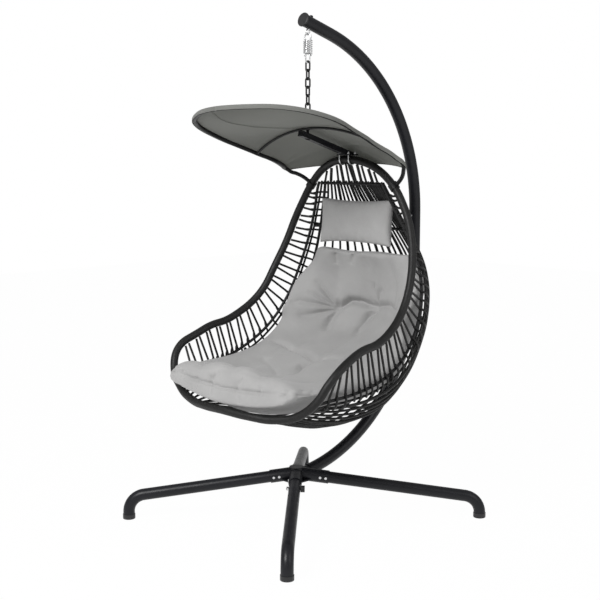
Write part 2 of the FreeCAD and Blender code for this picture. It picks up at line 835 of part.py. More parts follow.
def chain_links():
    half_width = (LINK_WIDTH - LINK_WIRE_D) / 2
    straight = LINK_LENGTH - LINK_WIRE_D - 2 * half_width
    links = []
    for k, turn in enumerate(LINK_TURNS):
        path = Path(V(half_width, 0, -half_width - straight), Z)
        path.run(straight).bend(half_width, -X, 90).bend(half_width, -Z, 90)
        path.run(straight).bend(half_width, X, 90).bend(half_width, Z, 90)
        link = tube(path, LINK_WIRE_D / 2, closed=True)
        links.append(hung(link, turn, LINK_BAR_Z - k * LINK_PITCH))
    return Part.Compound(links)


def arm_ceiling_z():
    """Height, on the hanging axis, of the inner face of the arm's top wall."""
    return BASKET_ORIGIN.z - ARM_WALL / math.cos(math.radians(ARM_SLOPE))


def nut_top_z():
    """The swivel nut sits inside the arm, against its top wall."""
    drop = SWIVEL_NUT_D / math.sqrt(3) * math.tan(math.radians(ARM_SLOPE))
    return arm_ceiling_z() - drop - SEAT_GAP


def swivel_eye():
    centre = V(0, HANG_Y, SWIVEL_Z)
    ring = Part.makeTorus(SWIVEL_EYE_R, SWIVEL_WIRE_D / 2, V(0, 0, 0), Y)
    ring = hung(ring, LINK_TURNS[-1] + 90, SWIVEL_Z)
    bottom = nut_top_z() - SWIVEL_NUT_THICK - SWIVEL_TAIL
    top = SWIVEL_Z - SWIVEL_EYE_R
    return ring.fuse(cylinder(V(0, HANG_Y, bottom), Z, top - bottom, SWIVEL_SHANK_D / 2))


def swivel_nut():
    place = V(0, HANG_Y, nut_top_z())
    bore = SWIVEL_SHANK_D / 2 + RUNNING_GAP
    return hexagon_nut(place, -Z, SWIVEL_NUT_THICK, SWIVEL_NUT_D, bore)


# Basket


RIM_R = RIM_OD / 2
RIB_R = RIB_D / 2
SPINE_R = SPINE_D / 2
HOOP_R = HOOP_D / 2
SPINE_STEP = SPINE_R + HOOP_R + SEAT_GAP


def rim_path():
    """The left half of the rim, from the top to the middle of the front edge."""
    return smooth(RIM_POINTS, X, -X)


RIM = rim_path()


def rim():
    half, _, _ = sides(RIM, RIM_R)
    return solid_of(half + [mirrored(face) for face in half])


def rib_path():
    """The left side rib, from the rim's shoulder down and round to its front corner."""
    start, _ = RIM.at(RIB_TOP_ALONG_RIM)
    end, _ = RIM.at(RIM_CORNER)
    return smooth([start, RIB_SHOULDER] + [station[0] for station in SHELL_STATIONS] + [end])


def nearest_along(path, point, step=5.0):
    """The length along a path at which it passes nearest to a point."""
    count = int(path.length / step)
    return min(range(count + 1), key=lambda k: (path.at(k * step)[0] - point).Length) * step


RIM_CORNER = nearest_along(RIM, V(*RIB_FRONT))
RIB = rib_path()


def trimmed(path, radius, start_tube=None, end_tube=None):
    """A bar along a path, cut back at each end to sit on the tube that it is aimed at."""
    first = 0.0
    last = path.length
    if start_tube:
        first = seat_cut(radius, start_tube[0], path.at(0.0)[1], start_tube[1])
    if end_tube:
        last -= seat_cut(radius, end_tube[0], path.at(last)[1], end_tube[1])
    return tube(path.part(first, last), radius)


def side_rib():
    start = (RIM_R, RIM.at(RIB_TOP_ALONG_RIM)[1])
    end = (RIM_R, RIM.at(RIM_CORNER)[1])
    return trimmed(RIB, RIB_R, start, end)


def spine_path():
    points = [V(*RIM_POINTS[0]), V(*SPINE_SHOULDER)]
    points += [V(0, *station[1]) for station in SHELL_STATIONS]
    points.append(V(*RIM_POINTS[-1]))
    return smooth(points)


SPINE = spine_path()


def spine():
    return trimmed(SPINE, SPINE_R, (RIM_R, X), (RIM_R, X))


def shell_circle(number):
    """The hoop line of a station: its centre, radius, half angle and way out."""
    rib = V(*SHELL_STATIONS[number][0])
    back, way = SPINE.at(SPINE.marks[number + 2])
    middle = V(0, rib.y, rib.z)
    out = unit(back - middle)
    square = abs(out.dot(unit(X.cross(way))))
    depth = (back - middle).Length - SPINE_STEP / square
    radius = (rib.x**2 + depth**2) / (2 * depth)
    centre = middle + out * (depth - radius)
    angle = math.atan2(rib.x, radius - depth)
    return centre, radius, angle, out


def shell_point(number, share):
    """A point of a hoop line and its way along: share is -1 at the right rib, 1 at the left."""
    centre, radius, angle, out = shell_circle(number)
    turn = angle * share
    point = centre + (X * math.sin(turn) + out * math.cos(turn)) * radius
    return point, X * math.cos(turn) - out * math.sin(turn)


def hoop(number):
    """A bent bar from rib to rib, just inside the spine."""
    centre, radius, angle, out = shell_circle(number)
    path = Path(centre + out * radius, X).bend(radius, -out, math.degrees(angle))
    rib_way = RIB.at(RIB.marks[number + 2])[1]
    cut = seat_cut(HOOP_R, RIB_R, path.direction, rib_way)
    half, _, end = sides(path.part(0, path.length - cut), HOOP_R)
    faces = half + [mirrored(face) for face in half]
    faces += [disc([end]), mirrored(disc([end]))]
    return solid_of(faces)


def strand_size(number):
    """Every few strands one is a wide band."""
    return BAND_D if number % BAND_EVERY == BAND_EVERY - 2 else STRAND_D


def strand_path(number):
    """A strand's line over the outside of the hoops, from the head hoop to the rim's front.

    Its marks are at its top end, at every station, and at the rim.
    """
    share = BACK_STRAND_SPREAD * number / BACK_STRANDS
    lift = HOOP_R + strand_size(number) / 2 + SEAT_GAP
    places = [shell_point(k, share) for k in range(len(SHELL_STATIONS))]
    ways = tangents([point for point, _ in places], None, None)
    points = []
    for (point, across), way in zip(places, ways):
        points.append(point + unit(across.cross(way)) * lift)
    points.insert(0, points[0] - ways[0] * STRAND_TOP_RISE)
    points.append(RIM.at(rim_end(number))[0])
    return smooth(points)


def rim_end(number):
    """The length along the rim at which a seat strand ends."""
    return RIM.length - FRONT_STRAND_SPREAD * (RIM.length - RIM_CORNER) * number / BACK_STRANDS


def back_strand(number):
    """One strand from the head hoop down the back to the seat hoop."""
    path = strand_path(number)
    end = path.marks[HOOP_STATIONS["seat_hoop"] + 1] - SEAT_GAP / 2
    return tube(path.part(0, end), strand_size(number) / 2)


def seat_strand(number):
    """One strand from the seat hoop forward under the seat to the rim's front edge."""
    path = strand_path(number)
    radius = strand_size(number) / 2
    start = path.marks[HOOP_STATIONS["seat_hoop"] + 1] + SEAT_GAP / 2
    cut = seat_cut(radius, RIM_R, path.direction, RIM.at(rim_end(number))[1])
    return tube(path.part(start, path.length - cut), radius)


def both_sides(shape_of):
    """The shapes numbered 1 to BACK_STRANDS and their mirror images."""
    left = [shape_of(k) for k in range(1, BACK_STRANDS + 1)]
    return Part.Compound(left + [mirrored(shape) for shape in left])


def between(spans, share):
    """Lengths along the rim and the rib, at a share of the whole span along the rim."""
    first = spans[0][0]
    place = first + (spans[-1][0] - first) * share
    for low, high in zip(spans, spans[1:]):
        if place <= high[0]:
            break
    part = (place - low[0]) / (high[0] - low[0])
    return place, low[1] + (high[1] - low[1]) * part


def straight_strand(start, end, start_tube, end_tube, radius):
    """A strand pulled straight between two tubes."""
    path = Path(start, end - start).run((end - start).Length)
    return trimmed(path, radius, start_tube, end_tube)


def side_strands():
    """The strands from the rim to the left side rib. They leave the rim in pairs."""
    strands = []
    for k in range(SIDE_STRANDS):
        along_rim, along_rib = between(SIDE_STRAND_SPANS, k / (SIDE_STRANDS - 1))
        pairing = SIDE_STRAND_PAIRING if k % 2 == 0 else -SIDE_STRAND_PAIRING
        start, rim_way = RIM.at(along_rim + pairing)
        end, rib_way = RIB.at(along_rib)
        tubes = ((RIM_R, rim_way), (RIB_R, rib_way))
        strands.append(straight_strand(start, end, tubes[0], tubes[1], STRAND_D / 2))
    return Part.Compound(strands)


def head_strands():
    """The strands that fan from the head hoop up to the top of the rim."""
    centre, radius, angle, out = shell_circle(0)
    strands = []
    for at_rim, at_hoop, width in HEAD_STRANDS:
        side = math.copysign(1, at_rim)
        start, way = RIM.at(nearest_x(RIM, abs(at_rim)))
        start = V(start.x * side, start.y, start.z)
        way = V(way.x, way.y * side, way.z * side)
        turn = math.asin(at_hoop / radius)
        radial = X * math.sin(turn) + out * math.cos(turn)
        end = centre + radial * radius
        hoop_way = X * math.cos(turn) - out * math.sin(turn)
        tubes = ((RIM_R, way), (HOOP_R, hoop_way))
        strands.append(straight_strand(start, end, tubes[0], tubes[1], width / 2))
    return Part.Compound(strands)


def nearest_x(path, x, step=1.0):
    """The length along the top of the rim at which it is x to the side."""
    distance = 0.0
    while path.at(distance)[0].x < x:
        distance += step
    return distance


# Arm and its clamp on the rim


def arm_line(depth):
    """Height of the arm's top face at a depth behind the hanging axis."""
    return -depth * math.tan(math.radians(ARM_SLOPE))


def foot_plate_z():
    return RIM_POINTS[0][2] + RIM_R + SEAT_GAP


def u_bolt_y(side):
    return RIM_POINTS[0][1] + side * (RIM_R + STRAND_END_GAP + U_BOLT_D / 2)


def hanger_arm():
    """A box bar on the rim's top that carries the basket at its front end."""
    back = u_bolt_y(1) + ARM_FOOT_EDGE - U_BOLT_D - ARM_WALL
    length = (back + ARM_FRONT) / math.cos(math.radians(ARM_SLOPE))
    bar = Part.makeBox(ARM_WIDTH, length, ARM_THICK, V(-ARM_WIDTH / 2, 0, -ARM_THICK))
    inner = Part.makeBox(
        ARM_WIDTH - 2 * ARM_WALL,
        length - ARM_WALL,
        ARM_THICK - 2 * ARM_WALL,
        V(-ARM_WIDTH / 2 + ARM_WALL, ARM_WALL, -ARM_THICK + ARM_WALL),
    )
    bar = bar.cut(inner)
    bar.rotate(V(0, 0, 0), X, -ARM_SLOPE)
    bar.translate(V(0, -ARM_FRONT, arm_line(-ARM_FRONT)))
    low = foot_plate_z()
    back_wall = Part.makeBox(
        ARM_WIDTH, ARM_WALL * 2, arm_line(back) - low, V(-ARM_WIDTH / 2, back - ARM_WALL, low)
    )
    depth = u_bolt_y(1) - u_bolt_y(-1) + 2 * ARM_FOOT_EDGE
    corner = V(-ARM_FOOT_WIDTH / 2, u_bolt_y(-1) - ARM_FOOT_EDGE, low)
    plate = Part.makeBox(ARM_FOOT_WIDTH, depth, ARM_FOOT_THICK, corner)
    under = Part.makeBox(
        2 * CUT_REACH, 2 * CUT_REACH, CUT_REACH, V(-CUT_REACH, corner.y - 60, low - CUT_REACH)
    )
    arm = bar.cut(under).fuse([plate, back_wall])
    bore = cylinder(V(0, 0, -60), Z, 120, SWIVEL_SHANK_D / 2 + RUNNING_GAP)
    inside = nut_top_z() - BASKET_ORIGIN.z
    access = cylinder(V(0, 0, inside), -Z, CUT_REACH, SWIVEL_ACCESS_R)
    holes = [
        cylinder(V(x * U_BOLT_X, u_bolt_y(y), low - 5), Z, 20, U_BOLT_D / 2 + FIT_GAP)
        for x in (-1, 1)
        for y in (-1, 1)
    ]
    return arm.cut([bore, access] + holes).removeSplitter()


def u_bolts():
    """Two bolts that hold the rim's top up against the arm's foot."""
    bolts = []
    radius = (u_bolt_y(1) - u_bolt_y(-1)) / 2
    top = foot_plate_z() + ARM_FOOT_THICK + U_BOLT_RISE
    for x in (-1, 1):
        centre, _ = RIM.at(nearest_x(RIM, U_BOLT_X))
        path = Path(V(x * U_BOLT_X, u_bolt_y(-1), top), -Z)
        path.run(top - centre.z).bend(radius, Y, 90).bend(radius, Z, 90).run(top - centre.z)
        bolts.append(tube(path, U_BOLT_D / 2))
    return Part.Compound(bolts)


def u_bolt_nuts():
    low = foot_plate_z() + ARM_FOOT_THICK
    bore = U_BOLT_D / 2 + RUNNING_GAP
    return Part.Compound(
        [
            hexagon_nut(V(x * U_BOLT_X, u_bolt_y(y), low), Z, U_BOLT_NUT_THICK, U_BOLT_NUT_D, bore)
            for x in (-1, 1)
            for y in (-1, 1)
        ]
    )


# Canopy


LOOP_R = LOOP_D / 2


def leaned(point):
    """The canopy leans to the right side, less and less towards the rim."""
    share = (LEAN_NONE_Y - point.y) / (LEAN_NONE_Y - LEAN_FULL_Y)
    share = max(0.0, min(1.0, share))
    angle = math.radians(CANOPY_LEAN) * (1 - (1 - share) ** 2)
    pivot = V(0, point.y, LEAN_PIVOT_Z)
    return pivot + turned(point - pivot, Y, -angle)


def loop_points(side):
    return [V(side * x, y, z) for x, y, z in LOOP_POINTS]


def loop_path():
    """The canopy's loop, from the left end on the rim round the front to the right end."""
    end, _ = RIM.at(LOOP_END_ALONG_RIM)
    left = [leaned(p) for p in loop_points(1)]
    right = [leaned(p) for p in loop_points(-1)[1:]]
    left.append(end)
    right.append(V(-end.x, end.y, end.z))
    return smooth(left[::-1] + right)


def canopy_loop():
    path = loop_path()
    way = RIM.at(LOOP_END_ALONG_RIM)[1]
    right_way = V(-way.x, way.y, way.z)
    outer = RIM_R + BRACKET_WALL - SEAT_GAP
    return trimmed(path, LOOP_R, (outer, way), (outer, right_way))


def canopy_bracket():
    """A clip round the rim that holds the left end of the loop."""
    half = BRACKET_LENGTH / 2
    path = RIM.part(LOOP_END_ALONG_RIM - half, LOOP_END_ALONG_RIM + half)
    return tube(path, RIM_R + SEAT_GAP + BRACKET_WALL, RIM_R + SEAT_GAP)


STRAIGHT_LOOP = smooth(LOOP_POINTS, X)


def straight_loop_point(y):
    """The point and way of the loop's left side, before it leans, at a depth."""
    low = 0.0
    high = STRAIGHT_LOOP.length
    while high - low > 0.01:
        middle = (low + high) / 2
        if STRAIGHT_LOOP.at(middle)[0].y < y:
            low = middle
        else:
            high = middle
    return STRAIGHT_LOOP.at(low)


def across(point):
    """The same point on the other side of the middle plane."""
    return V(-point.x, point.y, point.z)


def cross_rib():
    """The bent rod under the fabric, from side to side of the loop."""
    edge, way = straight_loop_point(CROSS_RIB_Y)
    middle_y = CROSS_RIB_Y - CROSS_RIB_BOW
    middle = V(0, middle_y, arm_line(middle_y) + CROSS_RIB_RISE + CROSS_RIB_D / 2)
    ends = [leaned(edge), leaned(across(edge))]
    ways = [unit(leaned(edge + way) - ends[0]), unit(leaned(across(edge + way)) - ends[1])]
    drop = Z * CROSS_RIB_DROP
    path = smooth([ends[0] - drop, leaned(middle), ends[1] - drop])
    seat = LOOP_R + SEAT_GAP * 3
    return trimmed(path, CROSS_RIB_D / 2, (seat, ways[0]), (seat, ways[1]))


def fabric_section(left, seam, right):
    """A closed outline across the canopy: the fabric's top, its bottom and its two edges."""
    middle = (left + right) / 2
    chord = unit(right - left)
    rise = seam - middle
    rise = unit(rise - chord * rise.dot(chord))
    lift = rise * math.copysign(FABRIC_THICK / 2, rise.z)
    top = Part.Arc(left + lift, seam + lift, right + lift).toShape()
    bottom = Part.Arc(right - lift, seam - lift, left - lift).toShape()
    edges = [
        top,
        Part.makeLine(right + lift, right - lift),
        bottom,
        Part.makeLine(left - lift, left + lift),
    ]
    return Part.Wire(edges)


def canopy_fabric():
    """The stretched cloth between the loop's two sides, from the front back to the rim."""
    sections = []
    raise_angle = math.radians(FABRIC_EDGE_ANGLE)
    reach = LOOP_R + FABRIC_EDGE_GAP + FABRIC_THICK / 2
    for edge_y, behind, seam_z in CANOPY_SECTIONS:
        edge, way = straight_loop_point(edge_y)
        inward = unit(V(-way.y, max(0.0, way.x), 0)) * reach * math.cos(raise_angle)
        left = edge + inward + Z * reach * math.sin(raise_angle)
        seam = V(0, left.y + behind, seam_z)
        sections.append(fabric_section(*[leaned(p) for p in (left, seam, across(left))]))
    hole = cylinder(V(0, 0, -CUT_REACH), Z, 2 * CUT_REACH, FABRIC_HOLE_R)
    return Part.makeLoft(sections, True, False).cut(hole)


# Cushions


def cushion_section(station, lobes):
    """A closed outline across the cushion: crowned lobes on top and one arc below."""
    y, z, degrees, half, ahead, thick, low = station
    inward = V(0, math.cos(math.radians(degrees)), -math.sin(math.radians(degrees)))
    middle = V(0, y, z)

    def top(share):
        x = half * share
        depth = ahead * share**2
        return middle + X * x - inward * depth

    valleys = [top(-1 + 2 * k / lobes) for k in range(lobes + 1)]
    edges = []
    rise = min(LOBE_RISE, thick * 0.2)
    for k in range(lobes):
        crown = top(-1 + (2 * k + 1) / lobes) - inward * rise
        edges.append(Part.Arc(valleys[k], crown, valleys[k + 1]).toShape())
    left = valleys[-1]
    right = valleys[0]
    left_low = left + inward * low
    right_low = right + inward * low
    bulge = min(10.0, thick * 0.12)
    edges.append(Part.Arc(left, left + inward * low / 2 + X * bulge, left_low).toShape())
    edges.append(Part.Arc(left_low, middle + inward * thick, right_low).toShape())
    edges.append(Part.Arc(right_low, right + inward * low / 2 - X * bulge, right).toShape())
    return Part.Wire(edges)


def seat_cushion():
    """The tufted seat and back cushion, one piece."""
    sections = [cushion_section(station, CUSHION_LOBES) for station in CUSHION_STATIONS]
    return Part.makeLoft(sections, True, False)


def pillow_section(share):
    """A lens across the pillow, at a share of its half width."""
    x = PILLOW_WIDTH / 2 * share
    height = PILLOW_WAIST + (PILLOW_HEIGHT - PILLOW_WAIST) * share**2
    full = 1 - share**4
    top = V(x, 0, height / 2)
    bottom = V(x, 0, -height / 2)
    ahead = V(x, -PILLOW_EDGE - (PILLOW_FRONT - PILLOW_EDGE) * full, 0)
    behind = V(x, PILLOW_EDGE + (PILLOW_BACK - PILLOW_EDGE) * full, 0)
    front = Part.Arc(top, ahead, bottom).toShape()
    back = Part.Arc(bottom, behind, top).toShape()
    return Part.Wire([front, back])


def head_pillow():
    shares = [-1 + 2 * k / (PILLOW_SECTIONS - 1) for k in range(PILLOW_SECTIONS)]
    pillow = Part.makeLoft([pillow_section(share) for share in shares], True, False)
    pillow.rotate(V(0, 0, 0), X, PILLOW_TILT)
    pillow.translate(V(0, PILLOW_Y, PILLOW_Z))
    return pillow


def stand_nodes():
    nodes = {name: leg(name) for name in LEG_PLACES}
    nodes["hub"] = hub()
    nodes["foot_caps"] = Part.Compound([foot_cap(*place) for place in LEG_PLACES.values()])
    screws = [
        sleeve_screw(*screw) for place in LEG_PLACES.values() for screw in screw_places(*place)
    ]
    nodes["sleeve_screws"] = Part.Compound(screws)
    nodes["leg_lock_knob"] = lock_knob()
    nodes["leg_lock_nut"] = lock_nut()
    nodes["lower_pole"] = lower_pole()
    nodes["upper_pole"] = upper_pole()
    nodes["pole_spigot"] = pole_spigot()
    nodes["pole_joint_bolt"] = joint_bolt()
    nodes["pole_joint_nut"] = joint_nut()
    nodes["pole_end_cap"] = pole_end_cap()
    nodes["eye_bolt"] = eye_bolt()
    nodes["eye_bolt_nut"] = eye_bolt_nut()
    return nodes


def hanging_nodes():
    return {
        "upper_drawbar": upper_drawbar(),
        "spring_coil": spring_coil(),
        "lower_drawbar": lower_drawbar(),
        "chain_links": chain_links(),
        "swivel_eye": swivel_eye(),
        "swivel_nut": swivel_nut(),
    }


def basket_nodes():
    nodes = {"hanger_arm": hanger_arm(), "u_bolts": u_bolts(), "u_bolt_nuts": u_bolt_nuts()}
    nodes["rim"] = rim()
    nodes["side_rib_left"] = side_rib()
    nodes["side_rib_right"] = mirrored(nodes["side_rib_left"])
    nodes["spine"] = spine()
    for name, number in HOOP_STATIONS.items():
        nodes[name] = hoop(number)
    nodes["head_strands"] = head_strands()
    nodes["side_strands_left"] = side_strands()
    nodes["side_strands_right"] = mirrored(nodes["side_strands_left"])
    nodes["back_strands"] = both_sides(back_strand)
    nodes["seat_strands"] = both_sides(seat_strand)
    nodes["canopy_loop"] = canopy_loop()
    nodes["canopy_bracket_left"] = canopy_bracket()
    nodes["canopy_bracket_right"] = mirrored(nodes["canopy_bracket_left"])
    nodes["canopy_cross_rib"] = cross_rib()
    nodes["canopy_fabric"] = canopy_fabric()
    nodes["seat_cushion"] = seat_cushion()
    nodes["head_pillow"] = head_pillow()
    for shape in nodes.values():
        shape.translate(BASKET_ORIGIN)
    return nodes


def middle_y():
    """The middle of the whole object's depth, which is the part's own origin."""
    foot_r = LEG_R + FIT_GAP + FOOT_WALL
    front = foot_place(1, -1).y - foot_r
    back = POLE_Y + POLE_R + SEAT_GAP + JOINT_HEAD_THICK
    return (front + back) / 2


os.makedirs("parts", exist_ok=True)
for group in (stand_nodes(), hanging_nodes(), basket_nodes()):
    for name, shape in group.items():
        shape.translate(V(0, -middle_y(), 0))
        shape.exportStep("parts/" + name + ".step")
        print(name, len(shape.Solids), shape.isValid(), round(shape.Volume))
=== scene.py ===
import json
import math

import bmesh
import bpy
import numpy as np
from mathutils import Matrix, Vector
from mathutils.bvhtree import BVHTree

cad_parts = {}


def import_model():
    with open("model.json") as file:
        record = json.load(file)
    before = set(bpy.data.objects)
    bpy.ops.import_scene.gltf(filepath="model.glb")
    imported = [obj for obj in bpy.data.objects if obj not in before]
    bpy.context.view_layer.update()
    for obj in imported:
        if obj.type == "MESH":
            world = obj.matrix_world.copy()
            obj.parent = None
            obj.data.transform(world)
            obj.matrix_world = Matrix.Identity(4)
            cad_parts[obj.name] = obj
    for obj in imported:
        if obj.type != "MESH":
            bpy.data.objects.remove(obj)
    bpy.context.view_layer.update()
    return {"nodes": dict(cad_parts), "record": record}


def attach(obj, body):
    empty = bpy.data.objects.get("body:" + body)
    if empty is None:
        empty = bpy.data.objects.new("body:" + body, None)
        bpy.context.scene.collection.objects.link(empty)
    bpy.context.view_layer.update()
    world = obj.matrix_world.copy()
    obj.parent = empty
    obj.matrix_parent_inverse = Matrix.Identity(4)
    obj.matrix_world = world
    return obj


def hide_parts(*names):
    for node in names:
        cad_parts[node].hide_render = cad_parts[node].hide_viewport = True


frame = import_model()
NODES = frame["nodes"]
SCENE = bpy.context.scene

# The basket's own origin, on the hanging axis at the arm's top face
BASKET = Vector((0, -0.051319, 1.525909))

# The camera, fitted to the photograph
CAMERA_AT = (3.1675, -3.1596, 1.4578)
CAMERA_YAW = 45.93
CAMERA_PITCH = 7.48
CAMERA_LENS = 67.93
SENSOR_WIDTH = 36

MM = 1000


def in_basket(point):
    """A place given in the basket's own millimetres, in metres in the frame."""
    return BASKET + Vector(point) / MM


# Curves


def unit(v):
    return v / v.length


def tangents(points):
    """The direction at each point, from the circle through it and its two neighbours."""
    ways = []
    for before, here, after in zip(points, points[1:], points[2:]):
        back = here - before
        ahead = after - here
        ways.append(unit(unit(back) * ahead.length + unit(ahead) * back.length))
    start = unit(points[1] - points[0])
    end = unit(points[-1] - points[-2])
    ways.insert(0, unit(start * 2 * start.dot(ways[0]) - ways[0]))
    ways.append(unit(end * 2 * end.dot(ways[-1]) - ways[-1]))
    return ways


def arc_points(a, corner, b, step):
    """Points on the arc from a to b whose end tangents meet at the corner."""
    cosine = max(0.0, unit(corner - a).dot(unit(b - a)))
    count = max(2, round((b - a).length / step))
    found = []
    for k in range(count):
        t = k / count
        weights = ((1 - t) ** 2, 2 * t * (1 - t) * cosine, t * t)
        total = sum(weights)
        found.append((a * weights[0] + corner * weights[1] + b * weights[2]) / total)
    return found


def smooth(points, step=0.004, first=None, last=None):
    """Points along tangent arcs through the given points, as the CAD's rods run."""
    points = [Vector(p) for p in points]
    ways = tangents(points)
    if first:
        ways[0] = Vector(first)
    if last:
        ways[-1] = Vector(last)
    line = []
    for a, b, leave, arrive in zip(points, points[1:], ways, ways[1:]):
        chord = b - a
        both = chord.dot(leave + arrive)
        slack = 1 - leave.dot(arrive)
        square = chord.length_squared
        reach = square / (both + math.sqrt(both**2 + 2 * slack * square))
        corner_a = a + leave * reach
        corner_b = b - arrive * reach
        middle = (corner_a + corner_b) / 2
        line += arc_points(a, corner_a, middle, step) + arc_points(middle, corner_b, b, step)
    return line + [points[-1]]


def resampled(line, step):
    """The same line, as points an even step apart."""
    co = np.array([tuple(p) for p in line])
    gaps = np.linalg.norm(np.diff(co, axis=0), axis=1)
    where = np.concatenate([[0], np.cumsum(gaps)])
    count = max(2, round(where[-1] / step))
    at = np.linspace(0, where[-1], count + 1)
    return np.stack([np.interp(at, where, co[:, k]) for k in range(3)], 1)


def frames_along(line, closed=False):
    """Ways and two crossing directions at each point of a line, turning as little as they can."""
    ahead = np.roll(line, -1, 0) - np.roll(line, 1, 0) if closed else np.gradient(line, axis=0)
    ways = ahead / np.linalg.norm(ahead, axis=1)[:, None]
    side = np.cross(ways[0], (0.0, 0.0, 1.0))
    if np.linalg.norm(side) < 0.1:
        side = np.cross(ways[0], (0.0, 1.0, 0.0))
    sides = []
    for way in ways:
        side = side - way * side.dot(way)
        side = side / np.linalg.norm(side)
        sides.append(side)
    sides = np.array(sides)
    return ways, sides, np.cross(ways, sides)


# Meshes


def linked(name, mesh):
    obj = bpy.data.objects.new(name, mesh)
    SCENE.collection.objects.link(obj)
    return obj


def mesh_object(name, vertices, faces):
    """A new object with smooth shading."""
    mesh = bpy.data.meshes.new(name)
    mesh.from_pydata([tuple(v) for v in vertices], [], faces)
    mesh.update()
    obj = linked(name, mesh)
    shade_smooth(obj)
    return obj


def grid_faces(rows, columns, close_rows=False, close_columns=False, start=0):
    """Four-sided faces between the points of a grid, whose first point has the number start."""
    faces = []
    for i in range(rows if close_rows else rows - 1):
        for j in range(columns if close_columns else columns - 1):
            a = start + i * columns + j
            b = start + i * columns + (j + 1) % columns
            c = start + ((i + 1) % rows) * columns + (j + 1) % columns
            d = start + ((i + 1) % rows) * columns + j
            faces.append((a, b, c, d))
    return faces


def tube_data(line, radius, sides=16, closed=False, start=0):
    """Vertices and faces of a tube: radius is one number, or a function of ring and angles."""
    line = np.asarray(line)
    _, u, w = frames_along(line, closed)
    angle = np.arange(sides) * 2 * math.pi / sides
    vertices = []
    for k in range(len(line)):
        r = radius(k, angle) if callable(radius) else radius
        spokes = np.cos(angle)[:, None] * u[k] + np.sin(angle)[:, None] * w[k]
        vertices.append(line[k] + spokes * (np.ones(sides) * r)[:, None])
    vertices = np.concatenate(vertices)
    faces = grid_faces(len(line), sides, close_rows=closed, close_columns=True, start=start)
    if not closed:
        faces.append(tuple(start + j for j in reversed(range(sides))))
        faces.append(tuple(start + (len(line) - 1) * sides + j for j in range(sides)))
    return vertices, faces


def coordinates(mesh):
    co = np.zeros(len(mesh.vertices) * 3)
    mesh.vertices.foreach_get("co", co)
    return co.reshape(-1, 3)


def set_coordinates(mesh, co):
    mesh.vertices.foreach_set("co", np.ascontiguousarray(co, dtype=np.float32).ravel())
    mesh.update()


def normals(mesh):
    found = np.zeros(len(mesh.vertices) * 3)
    mesh.vertex_normals.foreach_get("vector", found)
    return found.reshape(-1, 3)


def with_modifier(obj, kind, **settings):
    """Adds a modifier and applies it at once."""
    modifier = obj.modifiers.new(kind.lower(), kind)
    for name, value in settings.items():
        setattr(modifier, name, value)
    bake(obj)


def bake(obj):
    """Replaces an object's mesh by what its modifiers make of it."""
    bpy.context.view_layer.update()
    graph = bpy.context.evaluated_depsgraph_get()
    mesh = bpy.data.meshes.new_from_object(obj.evaluated_get(graph))
    obj.modifiers.clear()
    old = obj.data
    obj.data = mesh
    bpy.data.meshes.remove(old)


def shade_smooth(obj):
    obj.data.polygons.foreach_set("use_smooth", [True] * len(obj.data.polygons))


JOIN_GAP = 1e-5


def joined(work, gap):
    bmesh.ops.remove_doubles(work, verts=work.verts, dist=gap)


def with_bmesh(mesh, change):
    """Changes a mesh through a bmesh."""
    work = bmesh.new()
    work.from_mesh(mesh)
    change(work)
    work.to_mesh(mesh)
    work.free()


def from_node(node, name):
    """A copy of a CAD node's mesh as a new object, with its split vertices joined."""
    mesh = NODES[node].data.copy()
    mesh.materials.clear()
    obj = linked(name, mesh)
    with_bmesh(mesh, lambda work: joined(work, JOIN_GAP))
    return obj


# Materials


NOISE_ROUGHNESS = 0.6
NOISE_LOW = 0.3
NOISE_HIGH = 0.7


